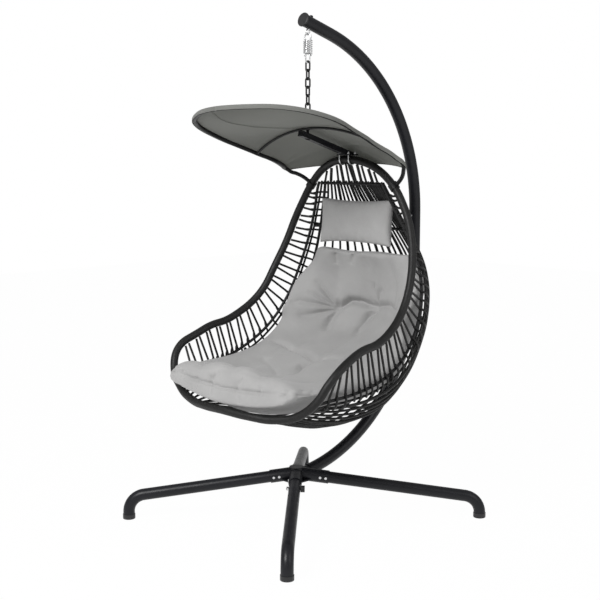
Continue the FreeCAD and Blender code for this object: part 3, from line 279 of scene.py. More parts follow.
class Material:
    """A node material, built from the principled shader."""

    def __init__(self, name, **sockets):
        self.material = bpy.data.materials.new(name)
        self.material.use_nodes = True
        self.nodes = self.material.node_tree.nodes
        self.links = self.material.node_tree.links
        self.shader = self.nodes["Principled BSDF"]
        for socket, value in sockets.items():
            self.shader.inputs[socket.replace("_", " ")].default_value = value
        self.where = self.add("ShaderNodeTexCoord").outputs["Object"]
        self.height = None

    def add(self, kind, **values):
        node = self.nodes.new(kind)
        for name, value in values.items():
            setattr(node, name, value)
        return node

    def link(self, output, target):
        self.links.new(output, target)
        return self

    def noise(self, scale, detail):
        node = self.add("ShaderNodeTexNoise")
        node.inputs["Scale"].default_value = scale
        node.inputs["Detail"].default_value = detail
        node.inputs["Roughness"].default_value = NOISE_ROUGHNESS
        self.link(self.where, node.inputs["Vector"])
        return node.outputs["Fac"]

    def ranged(self, source, low, high):
        """A noise, spread from low to high."""
        node = self.add("ShaderNodeMapRange")
        node.inputs["From Min"].default_value = NOISE_LOW
        node.inputs["From Max"].default_value = NOISE_HIGH
        node.inputs["To Min"].default_value = low
        node.inputs["To Max"].default_value = high
        self.link(source, node.inputs["Value"])
        return node.outputs["Result"]

    def colours(self, source, low, high, from_low=NOISE_LOW, from_high=NOISE_HIGH):
        """A noise as a blend of two colours."""
        ramp = self.add("ShaderNodeValToRGB")
        ramp.color_ramp.elements[0].position = from_low
        ramp.color_ramp.elements[1].position = from_high
        ramp.color_ramp.elements[0].color = (*low, 1)
        ramp.color_ramp.elements[1].color = (*high, 1)
        self.link(source, ramp.inputs["Fac"])
        return ramp.outputs["Color"]

    def multiplied(self, colour, factor):
        """A colour times a grey factor between 0 and 1."""
        node = self.add("ShaderNodeMix", data_type="RGBA", blend_type="MULTIPLY")
        node.inputs["Factor"].default_value = 1.0
        colours = [s for s in node.inputs if s.type == "RGBA"]
        self.link(colour, colours[0])
        self.link(factor, colours[1])
        return [s for s in node.outputs if s.type == "RGBA"][0]

    def base(self, output):
        return self.link(output, self.shader.inputs["Base Color"])

    def roughness(self, output):
        return self.link(output, self.shader.inputs["Roughness"])

    def bump(self, source, distance, strength=1.0):
        """Adds a height, in metres of distance, on top of those before it."""
        node = self.add("ShaderNodeBump")
        node.inputs["Distance"].default_value = distance
        node.inputs["Strength"].default_value = strength
        self.link(source, node.inputs["Height"])
        if self.height:
            self.link(self.height, node.inputs["Normal"])
        self.height = node.outputs["Normal"]
        return self.link(self.height, self.shader.inputs["Normal"])

    def wave(self, scale, direction):
        node = self.add("ShaderNodeTexWave", bands_direction=direction)
        node.inputs["Scale"].default_value = scale
        self.link(self.where, node.inputs["Vector"])
        return node.outputs["Fac"]

    def greatest(self, first, second):
        node = self.add("ShaderNodeMath", operation="MAXIMUM")
        self.link(first, node.inputs[0])
        self.link(second, node.inputs[1])
        return node.outputs[0]

    def blend(self, factor, first, second):
        """Shows two shaders, by a factor that is a number or an output."""
        mix = self.add("ShaderNodeMixShader")
        if isinstance(factor, float):
            mix.inputs["Fac"].default_value = factor
        else:
            self.link(factor, mix.inputs["Fac"])
        self.link(first, mix.inputs[1])
        self.link(second, mix.inputs[2])
        self.link(mix.outputs[0], self.nodes["Material Output"].inputs["Surface"])


def powder_coat():
    m = Material("powder_coat", Specular_IOR_Level=0.28)
    m.base(m.colours(m.noise(9, 3), (0.0070, 0.0072, 0.0095), (0.0105, 0.0110, 0.0140)))
    m.roughness(m.ranged(m.noise(30, 4), 0.34, 0.44))
    m.bump(m.noise(1500, 2), 0.00004)
    m.bump(m.noise(60, 2), 0.0002)
    return m.material


def frame_coat():
    m = Material("frame_coat", Specular_IOR_Level=0.3)
    m.base(m.colours(m.noise(12, 3), (0.0055, 0.0055, 0.006), (0.0095, 0.0095, 0.010)))
    m.roughness(m.ranged(m.noise(40, 4), 0.42, 0.55))
    m.bump(m.noise(1500, 2), 0.00004)
    return m.material


def moulded_plastic():
    m = Material("moulded_plastic")
    m.base(m.colours(m.noise(25, 3), (0.010, 0.010, 0.011), (0.017, 0.017, 0.018)))
    m.roughness(m.ranged(m.noise(60, 4), 0.38, 0.52))
    m.bump(m.noise(2500, 2), 0.00005)
    return m.material


def zinc():
    m = Material("zinc_plate", Metallic=1.0)
    m.base(m.colours(m.noise(120, 4), (0.56, 0.57, 0.58), (0.80, 0.80, 0.80)))
    m.roughness(m.ranged(m.noise(200, 4), 0.16, 0.34))
    m.bump(m.noise(900, 3), 0.00004)
    return m.material


def black_oxide():
    m = Material("black_oxide", Metallic=0.6)
    m.base(m.colours(m.noise(150, 4), (0.010, 0.010, 0.010), (0.030, 0.030, 0.031)))
    m.roughness(m.ranged(m.noise(180, 4), 0.34, 0.52))
    m.bump(m.noise(1200, 3), 0.00006)
    return m.material


def wicker():
    """Round plastic rattan: nearly black, with faint streaks."""
    m = Material("wicker_strand", Specular_IOR_Level=0.32)
    m.base(m.colours(m.noise(160, 5), (0.0045, 0.0045, 0.0046), (0.0120, 0.0118, 0.0115)))
    m.roughness(m.ranged(m.noise(220, 4), 0.38, 0.56))
    m.bump(m.noise(1400, 4), 0.00025)
    m.bump(m.noise(260, 3), 0.0005)
    return m.material


def cushion_fabric(name, low, high):
    """A plain woven cover with a soft nap."""
    m = Material(name, Sheen_Weight=0.25, Sheen_Roughness=0.5, Specular_IOR_Level=0.2)
    colour = m.colours(m.noise(7, 5), low, high)
    fibres = m.colours(m.noise(900, 3), (0.84,) * 3, (1.0,) * 3, 0.25, 0.75)
    m.base(m.multiplied(colour, fibres))
    m.roughness(m.ranged(m.noise(300, 3), 0.82, 0.95))
    weave = m.greatest(m.wave(330, "X"), m.greatest(m.wave(330, "Y"), m.wave(330, "Z")))
    m.bump(weave, 0.00025, 0.5)
    m.bump(m.noise(700, 4), 0.0004, 0.6)
    m.bump(m.noise(55, 3), 0.0015, 0.5)
    return m


CANOPY_LETS_THROUGH = 0.42


def canopy_fabric():
    """The same kind of weave, darker and tighter, which lets a little light through."""
    m = cushion_fabric("canopy_weave", (0.250, 0.253, 0.238), (0.290, 0.293, 0.277))
    through = m.add("ShaderNodeBsdfTranslucent")
    through.inputs["Color"].default_value = (0.50, 0.51, 0.475, 1)
    m.blend(CANOPY_LETS_THROUGH, m.shader.outputs[0], through.outputs[0])
    return m.material


def paint(obj, material):
    """Puts one material in all of an object's places for materials."""
    if not obj.data.materials:
        obj.data.materials.append(material)
    for k in range(len(obj.data.materials)):
        obj.data.materials[k] = material


MATERIALS = {
    "stand_metal": powder_coat(),
    "stand_plastic": moulded_plastic(),
    "fastener_steel": zinc(),
    "dark_fastener": black_oxide(),
    "frame_rod": frame_coat(),
    "wicker": wicker(),
}
MATERIALS["spring_steel"] = MATERIALS["fastener_steel"]
MATERIALS["chain_metal"] = MATERIALS["dark_fastener"]
MATERIALS["cushion_cloth"] = cushion_fabric(
    "cushion_weave", (0.348, 0.345, 0.343), (0.400, 0.397, 0.394)
).material
MATERIALS["canopy_cloth"] = canopy_fabric()

for row in frame["record"]["subparts"]:
    paint(NODES[row["node"]], MATERIALS[row["material_slot"]])


def dress(obj, slot, body="basket", replaces=()):
    """Finishes a new piece: its material, its slot, its body and what it stands for."""
    paint(obj, MATERIALS[slot])
    if replaces:
        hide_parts(*replaces)
    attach(obj, body)
    return obj


# The rim, wound with one flat strand

RIM_POINTS = (
    (0, 223, -100), (158, 240, -143), (230, 247, -206), (287, 245, -289),
    (368, 199, -502), (405, 85, -689), (423, -23, -756), (430, -178, -796),
    (436, -320, -878), (405, -353, -946), (333, -374, -1004), (229, -401, -1030),
    (114, -429, -1029), (0, -442, -1024),
)
RIM_RADIUS = 0.01575
WINDING_WIDTH = 0.0062
WINDING_DEPTH = 0.0007
# The winding stays this share of its depth inside the solid rim
WINDING_SINK = 0.2
WINDING_STEP = 0.00125
WINDING_SIDES = 20


def rim_line():
    places = [in_basket(p) for p in RIM_POINTS]
    left = smooth(places, first=(1, 0, 0), last=(-1, 0, 0))
    right = [Vector((-p.x, p.y, p.z)) for p in left[1:-1]]
    return left + right[::-1]


def wound_rim():
    line = rim_line()
    line = resampled(line + line[:1], WINDING_STEP)[:-1]
    turns = round(len(line) * WINDING_STEP / WINDING_WIDTH)

    def radius(k, angle):
        turn = turns * k / len(line) + angle / (2 * math.pi)
        place = turn % 1.0
        crown = np.sqrt(np.clip(1 - (2 * place - 1) ** 2, 0, 1))
        return RIM_RADIUS - WINDING_DEPTH * (1 - crown) - WINDING_DEPTH * WINDING_SINK

    vertices, faces = tube_data(line, radius, WINDING_SIDES, closed=True)
    dress(mesh_object("rim_winding", vertices, faces), "wicker", replaces=["rim"])


wound_rim()


# Side strands, carried round the ribs to the strands of the back and the seat

TAIL_RADIUS = 0.0043
TAIL_SIDES = 10
TAIL_STEP = 0.006
# How far along the strand's own way the tail looks for the shell
TAIL_REACH = 0.055
# Before the strand's end, and past it, round the rib: along the strand and outwards
TAIL_START = (-0.012, 0.002)
TAIL_PAST = (0.010, 0.0115)
TAIL_SINK = 0.003
END_ZONE = 0.004
# A point in the middle of the bucket, to tell inwards from outwards
BUCKET_MIDDLE = (0, -60, -560)


def islands(mesh):
    """The vertex positions of each separate part of a mesh, in a fixed order."""
    work = bmesh.new()
    work.from_mesh(mesh)
    joined(work, JOIN_GAP)
    left = set(work.verts)
    found = []
    while left:
        seed = left.pop()
        group, todo = [seed], [seed]
        while todo:
            for edge in todo.pop().link_edges:
                for v in edge.verts:
                    if v in left:
                        left.remove(v)
                        group.append(v)
                        todo.append(v)
        found.append(np.array(sorted(tuple(v.co) for v in group)))
    work.free()
    return sorted(found, key=lambda co: tuple(co.mean(axis=0).round(5)))


def tree_of(*names):
    """A search tree over the meshes of some CAD nodes."""
    vertices, faces = [], []
    for name in names:
        mesh = NODES[name].data
        first = len(vertices)
        vertices += [tuple(v.co) for v in mesh.vertices]
        faces += [tuple(first + k for k in p.vertices) for p in mesh.polygons]
    return BVHTree.FromPolygons(vertices, faces)


def tail_line(co, rib, shell):
    """From the end of a strand at its rib, round the rib's outside and on to the shell."""
    away = np.array([rib.find_nearest(Vector(p))[3] for p in co])
    end = co[away < away.min() + END_ZONE].mean(axis=0)
    far = co[away > away.max() - END_ZONE].mean(axis=0)
    run = (end - far) / np.linalg.norm(end - far)
    out = np.array(rib.find_nearest(Vector(end))[0]) - np.array(in_basket(BUCKET_MIDDLE))
    out -= run * out.dot(run)
    out /= np.linalg.norm(out)
    start, past = (end + run * ahead + out * aside for ahead, aside in (TAIL_START, TAIL_PAST))
    target = np.array(shell.find_nearest(Vector(end + run * TAIL_REACH))[0]) + out * TAIL_SINK
    return smooth([start, past, target])


def strand_tails():
    shell = tree_of("back_strands", "seat_strands")
    vertices, faces = [], []
    for side in ("left", "right"):
        rib = tree_of("side_rib_" + side)
        for co in islands(NODES["side_strands_" + side].data):
            line = resampled(tail_line(co, rib, shell), TAIL_STEP)
            tail, tail_faces = tube_data(line, TAIL_RADIUS, TAIL_SIDES, start=len(vertices))
            vertices += [tuple(v) for v in tail]
            faces += tail_faces
    dress(mesh_object("side_strand_tails", vertices, faces), "wicker")


strand_tails()


# Cushions

# All in the basket's own millimetres
TUFTS = ((-154, 328, -725), (23, 368, -712), (200, 312, -725))
# Each fold: its points, its depth as a valley and as a sharp line, and its share at each end.
# A fold that has a share of 1 at an end runs into a tuft or another fold there.
FOLDS = (
    (((-158, 324, -727), (-229, 264, -709), (-279, 225, -698), (-311, 188, -709)), 9, 6, 1, 0.2),
    (((-158, 320, -735), (-227, 249, -754), (-274, 200, -762)), 10, 6, 1, 0.2),
    (((-155, 327, -725), (-209, 291, -691), (-270, 257, -657)), 9, 6, 1, 0.1),
    (((-155, 327, -725), (-201, 305, -665), (-253, 288, -606)), 9, 6, 1, 0.1),
    (((-148, 329, -724), (-104, 345, -696), (-56, 358, -697), (-20, 367, -706), (23, 368, -712)),
     14, 8, 1, 1),
    (((23, 368, -700), (24, 370, -673), (18, 369, -634), (33, 360, -604)), 7, 6, 1, 0.1),
    (((26, 368, -700), (52, 360, -650), (87, 350, -627)), 7, 6, 1, 0.1),
    (((23, 370, -710), (114, 344, -695), (200, 312, -725)), 8, 5, 1, 1),
    (((-156, 322, -740), (-167, 278, -800), (-146, 244, -819)), 9, 6, 1, 0.2),
    (((18, 365, -730), (-9, 365, -753), (-28, 330, -800), (0, 270, -830)), 9, 6, 1, 0.2),
    (((200, 308, -740), (230, 250, -800)), 8, 5, 1, 0.2),
    (((200, 312, -710), (225, 300, -640)), 8, 5, 1, 0.2),
    (((-316, 82, -860), (-200, 90, -873), (-81, 58, -876), (0, 40, -890)), 11, 7, 0.3, 1),
    (((0, 40, -890), (40, 30, -889), (69, 55, -880), (138, 73, -874)), 11, 7, 1, 0.3),
    (((-233, -32, -901), (-105, -96, -918), (-12, -147, -940)), 9, 5, 0.3, 0.3),
    (((20, 35, -890), (-9, -19, -911), (40, -120, -930)), 9, 5, 1, 0.3),
    (((-86, 334, -541), (-66, 324, -510), (-44, 325, -479)), 5, 4, 0.2, 1),
    (((-164, 330, -546), (-159, 325, -525), (-158, 317, -503)), 5, 4, 0.2, 1),
    (((-250, -410, -890), (-29, -425, -878), (126, -416, -873), (250, -405, -885)), 0, 3, 0.3, 0.3),
    (((-75, -440, -916), (-78, -443, -937), (-69, -449, -984)), 5, 4, 1, 0.3),
    (((-33, -429, -881), (-49, -438, -895), (-70, -440, -916)), 5, 4, 0.3, 1),
    (((104, -430, -882), (73, -441, -924), (68, -444, -945), (104, -449, -988)), 6, 4, 0.6, 0.3),
    (((200, -437, -901), (196, -443, -935), (204, -447, -972)), 5, 4, 0.6, 0.3),
    (((-159, -441, -918), (-156, -443, -940), (-152, -447, -967)), 4, 3, 0.6, 0.3),
    (((-250, -437, -901), (-246, -443, -935), (-254, -447, -972)), 5, 4, 0.6, 0.3),
    (((317, -408, -901), (338, -428, -934)), 4, 3, 0.6, 0.3),
    (((331, -353, -910), (339, -360, -944)), 4, 3, 0.6, 0.3),
    (((343, -325, -916), (336, -317, -952)), 4, 3, 0.6, 0.3),
)
FRONT_SEAM = (
    (0, -444, -940), (74, -443, -937), (198, -442, -930), (317, -428, -918), (353, -365, -924),
    (364, -316, -933),
)
# Depth and width of each kind of dent; for the folds a factor on their own depth, and width
TUFT_BOWL = (30, 25)
TUFT_POINT = (8, 9)
FOLD_VALLEY = (1.5, 15)
FOLD_SHARP = (1.7, 4.5)
FOLD_HALF_WIDTH = 3
FOLD_TIP = 8
SEAM_BOWL = (8, 8)
SEAM_SHARP = (5, 4)
SEAM_TIP = 12
SWELL_DEPTH = 3.0
# The swell is nothing here at the front, and whole from the end of the fade backwards
SWELL_FROM_Y = -500
SWELL_FADE = 200
LINE_STEP = 3.0
LINE_MARGIN = 80
NOWHERE = 1e6

COVER_VOXEL = 0.008
COVER_SMOOTHING = 12


def bowl(distance, depth, width):
    return depth * np.exp(-((distance / width) ** 2))


def spike(distance, depth, width):
    return depth * np.exp(-distance / width)


def tips(along, steepness):
    """0 at both ends of a line and 1 away from them."""
    return np.clip(np.minimum(along, 1 - along) * steepness, 0, 1)


def distances(co, line):
    """Every vertex's distance to a line, and how far along the line its nearest point is."""
    line = resampled(line, LINE_STEP)
    best = np.full(len(co), NOWHERE)
    along = np.zeros(len(co))
    low, high = line.min(axis=0) - LINE_MARGIN, line.max(axis=0) + LINE_MARGIN
    near = np.flatnonzero(((co > low) & (co < high)).all(axis=1))
    for k, p in enumerate(line):
        d = np.linalg.norm(co[near] - p, axis=1)
        closer = d < best[near]
        best[near[closer]] = d[closer]
        along[near[closer]] = k / (len(line) - 1)
    return best, along


def creased(obj):
    """Presses the tufts, the folds that run from them and the sewn front seam into a cover."""
    co = coordinates(obj.data)
    local = co * MM - np.array(BASKET) * MM
    down = np.zeros(len(co))
    for tuft in TUFTS:
        d = np.linalg.norm(local - tuft, axis=1)
        down = np.maximum(down, bowl(d, *TUFT_BOWL) + spike(d, *TUFT_POINT))
    for line, valley, sharp, first, last in FOLDS:
        d, along = distances(local, line)
        d = np.maximum(0, d - FOLD_HALF_WIDTH)
        loose_end = np.where(along < 0.5, first < 1, last < 1)
        share = (first + (last - first) * along) * np.where(loose_end, tips(along, FOLD_TIP), 1)
        depth = valley * bowl(d, *FOLD_VALLEY) + sharp * spike(d, *FOLD_SHARP)
        down = np.maximum(down, depth * share)
    seam = [(-x, y, z) for x, y, z in FRONT_SEAM[::-1]] + list(FRONT_SEAM[1:])
    d, along = distances(local, seam)
    down += (bowl(d, *SEAM_BOWL) + spike(d, *SEAM_SHARP)) * tips(along, SEAM_TIP)
    x, y, z = local.T
    swell = SWELL_DEPTH * np.sin(x * 0.021 + z * 0.013) * np.sin(z * 0.017)
    down += swell * np.clip((y - SWELL_FROM_Y) / SWELL_FADE, 0, 1)
    set_coordinates(obj.data, co - normals(obj.data) * (down / MM)[:, None])


def seat_cover():
    obj = from_node("seat_cushion", "seat_cushion_cover")
    with_modifier(obj, "REMESH", mode="VOXEL", voxel_size=COVER_VOXEL)
    with_modifier(obj, "SMOOTH", factor=0.5, iterations=COVER_SMOOTHING)
    with_modifier(obj, "SUBSURF", levels=1, render_levels=1)
    creased(obj)
    shade_smooth(obj)
    return obj


PILLOW_AT = (0, 275, -352)
PILLOW_TILT = math.radians(4.0)
PILLOW_COLUMNS = 74
PILLOW_ROWS = 36
PILLOW_HALF_WIDTH = 196
PILLOW_HALF_HEIGHT = 83
# The sides are pulled in between the corners, and the corners stand up
PILLOW_WAIST = 9
PILLOW_CORNER = 12
PILLOW_EDGE = 4
PILLOW_FRONT = 28
PILLOW_BACK = 46
PUCKER_DEPTH = 5.0
WAVE_DEPTH = 3.5
# Folds up from the bottom edge: place along the edge, lean and depth
PILLOW_FOLDS = ((0.12, 0.5, 9), (-0.35, -0.3, 5), (0.55, 0.2, 6))
PILLOW_FOLD_WIDTH = 0.05
CORNER_FOLD_DEPTH = 5
CORNER_FOLD_WIDTH = 0.16
WELD_GAP = 0.0002


def pillow_front(u, v, swell):
    """How far back the front panel is, with its puckers, for u and v from -1 to 1."""
    y = -(PILLOW_EDGE + PILLOW_FRONT * swell ** 0.62)
    pucker = math.sin(u * 29 + 1) * math.sin(u * 11) * (abs(v) ** 4)
    wave = math.sin(u * 6 + v * 2.5) * swell
    y += PUCKER_DEPTH * pucker * (1 - abs(v) ** 12) + WAVE_DEPTH * wave
    for at_u, lean, deep in PILLOW_FOLDS:
        off = (u - at_u - lean * (v + 1) * 0.3) / PILLOW_FOLD_WIDTH
        y += deep * math.exp(-off * off) * max(0.0, -v) ** 1.5 * (1 - abs(v) ** 10)
    for corner_u, corner_v in ((-1, -1), (1, -1), (-1, 1), (1, 1)):
        du, dv = abs(u - corner_u) * 2.2, abs(v - corner_v)
        off = (dv - du * 0.8) / CORNER_FOLD_WIDTH
        y += CORNER_FOLD_DEPTH * math.exp(-off * off) * math.exp(-(du + dv) * 0.8) * swell
    return y


def pillow_point(u, v, front):
    swell = (1 - u ** 4) * (1 - abs(v) ** 3.2)
    if abs(u) == 1 or abs(v) == 1:
        y = 0.0
    elif front:
        y = pillow_front(u, v, swell)
    else:
        y = PILLOW_EDGE + PILLOW_BACK * swell ** 0.6
    x = (PILLOW_HALF_WIDTH - PILLOW_WAIST * (1 - v * v)) * u
    z = (PILLOW_HALF_HEIGHT + PILLOW_CORNER * abs(u) ** 2.4) * v
    cos, sin = math.cos(PILLOW_TILT), math.sin(PILLOW_TILT)
    return in_basket(Vector(PILLOW_AT) + Vector((x, y * cos + z * sin, z * cos - y * sin)))


def pillow_cover():
    """Two panels that meet in a thin edge with pointed corners, full in the middle."""
    panels = [
        pillow_point(2 * j / PILLOW_COLUMNS - 1, 2 * i / PILLOW_ROWS - 1, front)
        for front in (True, False)
        for i in range(PILLOW_ROWS + 1)
        for j in range(PILLOW_COLUMNS + 1)
    ]
    size = (PILLOW_ROWS + 1, PILLOW_COLUMNS + 1)
    faces = grid_faces(*size) + grid_faces(*size, start=size[0] * size[1])
    obj = mesh_object("head_pillow_cover", panels, faces)

    def closed(work):
        joined(work, WELD_GAP)
        bmesh.ops.recalc_face_normals(work, faces=work.faces)

    with_bmesh(obj.data, closed)
    shade_smooth(obj)
    return obj


dress(seat_cover(), "cushion_cloth", replaces=["seat_cushion"])
dress(pillow_cover(), "cushion_cloth", replaces=["head_pillow"])


# Canopy

LOOP_POINTS = (
    (0, -489, 78), (127, -446, 72), (242, -341, 56), (301, -190, 19), (290, -8, -44),
    (283, 78, -76), (305, 146, -105), (322, 192, -133), (311, 205, -148), (295, 222, -160),
)
CANOPY_SECTIONS = (
    (-484, 0, 76), (-471, 0, 68), (-446, 0, 56), (-400, 0, 43), (-340, 0, 35),
    (-260, 0, 29), (-180, 0, 27), (-100, 0, 27), (-41, 0, 27), (20, 0, 17),
    (75, 0, 0), (141, 8, -22), (172, 29, -37), (188, 50, -52), (200, 72, -116),
)
LOOP_RADIUS = 8.0
CANOPY_LEAN = 6.6
LEAN_FULL_Y = 10.0
LEAN_NONE_Y = 222.0
LEAN_PIVOT_Z = -10.0
LOOP_STEP = 4.0

SHEET_LIFT = 1.5
SHEET_THICK = 0.0014
SHEET_ROWS = 90
SHEET_COLUMNS = 60
WRAP_STEPS = 10
SKIRT_DROPS = (3.0, 6.5)

# The sewn ridge along the middle: its depth and width, and where it starts and ends
RIDGE_DEPTH = 7.0
RIDGE_WIDTH = 26
RIDGE_FRONT_Y, RIDGE_FRONT_FADE = -478, 40
RIDGE_BACK_Y, RIDGE_BACK_FADE = -45, 60
# Soft puckers along the edges, stronger towards the rim
PUCKER_LEAST = 0.5
PUCKER_AT_RIM = 3.0
PUCKER_RIM_Y, PUCKER_RIM_FADE = 70, 60

SEAM_SHARE = 0.60
SEAM_WIDTH = 0.008
SEAM_RISE = -0.0012
SEAM_DEPTH = 0.0007
HEM_RADIUS = 0.0022
HEM_SIDES = 8
HEM_STEP = 0.006

# The chain's hole: faces within the cut go, and its edge is drawn to a circle
HOLE_CUT = 0.016
HOLE_EDGE = 0.017


def leaned(point):
    """The canopy leans to one side, less and less towards the rim."""
    share = (LEAN_NONE_Y - point[1]) / (LEAN_NONE_Y - LEAN_FULL_Y)
    share = max(0.0, min(1.0, share))
    angle = -math.radians(CANOPY_LEAN) * (1 - (1 - share) ** 2)
    x, y, z = point[0], point[1], point[2] - LEAN_PIVOT_Z
    cos, sin = math.cos(angle), math.sin(angle)
    return np.array((x * cos + z * sin, y, z * cos - x * sin + LEAN_PIVOT_Z))


def circle_points(a, b, c, shares):
    """Points on the arc from a through b to c."""
    ab, ac = b - a, c - a
    normal = np.cross(ab, ac)
    centre = a + (
        np.cross(normal, ab) * ac.dot(ac) + np.cross(ac, normal) * ab.dot(ab)
    ) / (2 * normal.dot(normal))
    start, end = a - centre, c - centre
    radius = np.linalg.norm(start)
    side = np.cross(normal, start)
    side = side / np.linalg.norm(side) * radius
    full = math.atan2(end.dot(side) / radius, end.dot(start) / radius)
    full = full if full > 0 else full + 2 * math.pi
    turns = full * np.asarray(shares)
    return centre + np.cos(turns)[:, None] * start + np.sin(turns)[:, None] * side


def loop_half():
    """The left half of the loop's centre line, from the front, before it leans."""
    return np.array([tuple(p) for p in smooth(LOOP_POINTS, LOOP_STEP, first=(1, 0, 0))])


def between(p, s):
    """The Catmull-Rom curve from p[1] to p[2], at share s."""
    return 0.5 * (
        2 * p[1] + (p[2] - p[0]) * s + (2 * p[0] - 5 * p[1] + 4 * p[2] - p[3]) * s**2
        + (3 * p[1] - p[0] - 3 * p[2] + p[3]) * s**3
    )


def canopy_rows(count):
    """Rows of the sheet, front to hem: loop point, way inwards, middle's setback and height."""
    loop = loop_half()
    forward = np.argsort(loop[:, 1])
    ways = np.gradient(loop, axis=0)
    sections = np.array(CANOPY_SECTIONS, float)
    last = len(sections) - 1
    rows = []
    for t in np.linspace(0, last, count):
        k = min(int(t), last - 1)
        four = sections[[max(k - 1, 0), k, k + 1, min(k + 2, last)]]
        edge_y, behind, seam_z = between(four, t - k)
        edge, way = (
            np.array([np.interp(edge_y, loop[forward, 1], data[forward, j]) for j in range(3)])
            for data in (loop, ways)
        )
        inward = np.array((-abs(way[1]), max(0.0, way[0] * np.sign(way[1])), 0.0))
        rows.append((edge, inward / np.linalg.norm(inward), behind, seam_z))
    return rows


def loop_line():
    """The loop's whole centre line, leaned, from the left end round the front to the right."""
    half = loop_half()
    whole = np.concatenate([half[::-1], half[1:] * (-1, 1, 1)])
    return np.array([leaned(p) for p in whole])


def sheet_rows():
    """The sheet between the loop's two sides, with its sewn ridge and a few soft puckers."""
    reach = LOOP_RADIUS + SHEET_LIFT
    shares = np.linspace(0, 1, SHEET_COLUMNS + 1)
    found = []
    for edge, inward, behind, seam_z in canopy_rows(SHEET_ROWS):
        left = edge + (inward + np.array((0, 0, 1))) * reach * math.sqrt(0.5)
        middle = np.array((0.0, left[1] + behind, seam_z))
        row = circle_points(leaned(left), leaned(middle), leaned(left * (-1, 1, 1)), shares)
        y = edge[1]
        aside = np.abs(shares - 0.5) * np.linalg.norm(row[-1] - row[0])
        fade = np.clip((y - RIDGE_FRONT_Y) / RIDGE_FRONT_FADE, 0, 1)
        fade *= np.clip((RIDGE_BACK_Y - y) / RIDGE_BACK_FADE, 0, 1)
        row[:, 2] -= RIDGE_DEPTH * fade * np.exp(-aside / RIDGE_WIDTH)
        rim_side = np.clip((y - PUCKER_RIM_Y) / PUCKER_RIM_FADE, 0, 1)
        edge_side = np.exp(-np.minimum(shares, 1 - shares) * 9) * np.sin(np.pi * shares) ** 0.5
        wave = np.sin(y * 0.19 + shares * 7) + 0.6 * np.sin(y * 0.083 - shares * 11)
        row[:, 2] += wave * edge_side * (PUCKER_LEAST + PUCKER_AT_RIM * rim_side)
        found.append(row)
    return np.array(found)


def wrapped(point, line, ways):
    """Steps of the sheet from its edge over the top of the loop and down its outside."""
    k = int(np.argmin(np.linalg.norm(line - point, axis=1)))
    way = ways[k]
    out = point - line[k]
    out = out - way * out.dot(way)
    inward = np.cross(way, (0.0, 0.0, 1.0))
    inward /= np.linalg.norm(inward)
    inward = inward if inward.dot(out) > 0 else -inward
    up = np.cross(inward, way)
    up = up if up[2] > 0 else -up
    start = math.atan2(out.dot(up), out.dot(inward))
    radius = np.linalg.norm(out)
    steps = []
    for j in range(1, WRAP_STEPS + 1):
        share = j / WRAP_STEPS
        angle = start + (math.pi - start) * share
        r = radius + (LOOP_RADIUS + SHEET_LIFT - radius) * min(1.0, share * 2)
        steps.append(line[k] + (inward * math.cos(angle) + up * math.sin(angle)) * r)
    for drop in SKIRT_DROPS:
        steps.append(steps[WRAP_STEPS - 1] - up * drop)
    return steps


def with_hole(obj):
    """Draws the edge of the chain's hole to a circle and tidies the mesh round it."""
    hole = Vector((BASKET.x, BASKET.y))

    def change(work):
        loose = [v for v in work.verts if not v.link_faces]
        bmesh.ops.delete(work, geom=loose, context="VERTS")
        for v in work.verts:
            gap = v.co.xy - hole
            if v.is_boundary and gap.length < 2 * HOLE_CUT:
                v.co.xy = hole + gap.normalized() * HOLE_EDGE
        bmesh.ops.recalc_face_normals(work, faces=work.faces)

    with_bmesh(obj.data, change)


def canopy_sheet(grid):
    """One sheet, stretched between the loop's sides and sewn round the loop."""
    rows, columns = grid.shape[0], grid.shape[1]
    line = loop_line()
    ways = np.gradient(line, axis=0)
    ways /= np.linalg.norm(ways, axis=1)[:, None]
    edge = [(i, 0) for i in range(rows - 1, 0, -1)] + [(0, j) for j in range(columns)]
    edge += [(i, columns - 1) for i in range(1, rows)]
    around = np.array([wrapped(grid[i, j], line, ways) for i, j in edge])
    across = around.shape[1]
    vertices = np.concatenate([grid.reshape(-1, 3), around.reshape(-1, 3)]) / MM
    vertices += np.array(BASKET)
    faces = grid_faces(rows, columns)
    first = rows * columns
    rings = [[i * columns + j] + [first + k * across + s for s in range(across)]
             for k, (i, j) in enumerate(edge)]
    for a, b in zip(rings, rings[1:]):
        faces += [(a[s], b[s], b[s + 1], a[s + 1]) for s in range(across)]
    near = np.linalg.norm(vertices[:, :2] - np.array(BASKET)[:2], axis=1) < HOLE_CUT
    kept = [face for face in faces if not near[list(face)].all()]
    obj = mesh_object("canopy_sheet", vertices, kept)
    with_hole(obj)
    area = sum(p.area for p in obj.data.polygons)
    with_modifier(obj, "SOLIDIFY", thickness=SHEET_THICK, offset=0.0)
    shade_smooth(obj)
    return obj, area


def ribbon(line, across, width, rise, depth):
    """A flat strip along a line, raised a little from the cloth that it is sewn to."""
    ways, _, _ = frames_along(line)
    side = across - ways * (ways @ across)[:, None]
    side = side / np.linalg.norm(side, axis=1)[:, None]
    up = np.cross(side, ways)
    up *= np.sign(up[:, 2])[:, None]
    profile = ((-1, 0), (-0.8, 1), (0.8, 1), (1, 0), (0.8, -0.4), (-0.8, -0.4))
    vertices = np.concatenate([
        [p + side[k] * width / 2 * a + up[k] * (rise + depth * b) for a, b in profile]
        for k, p in enumerate(line)
    ])
    faces = grid_faces(len(line), len(profile), close_columns=True)
    last = (len(line) - 1) * len(profile)
    faces.append(tuple(range(len(profile) - 1, -1, -1)))
    faces.append(tuple(last + j for j in range(len(profile))))
    return vertices, faces


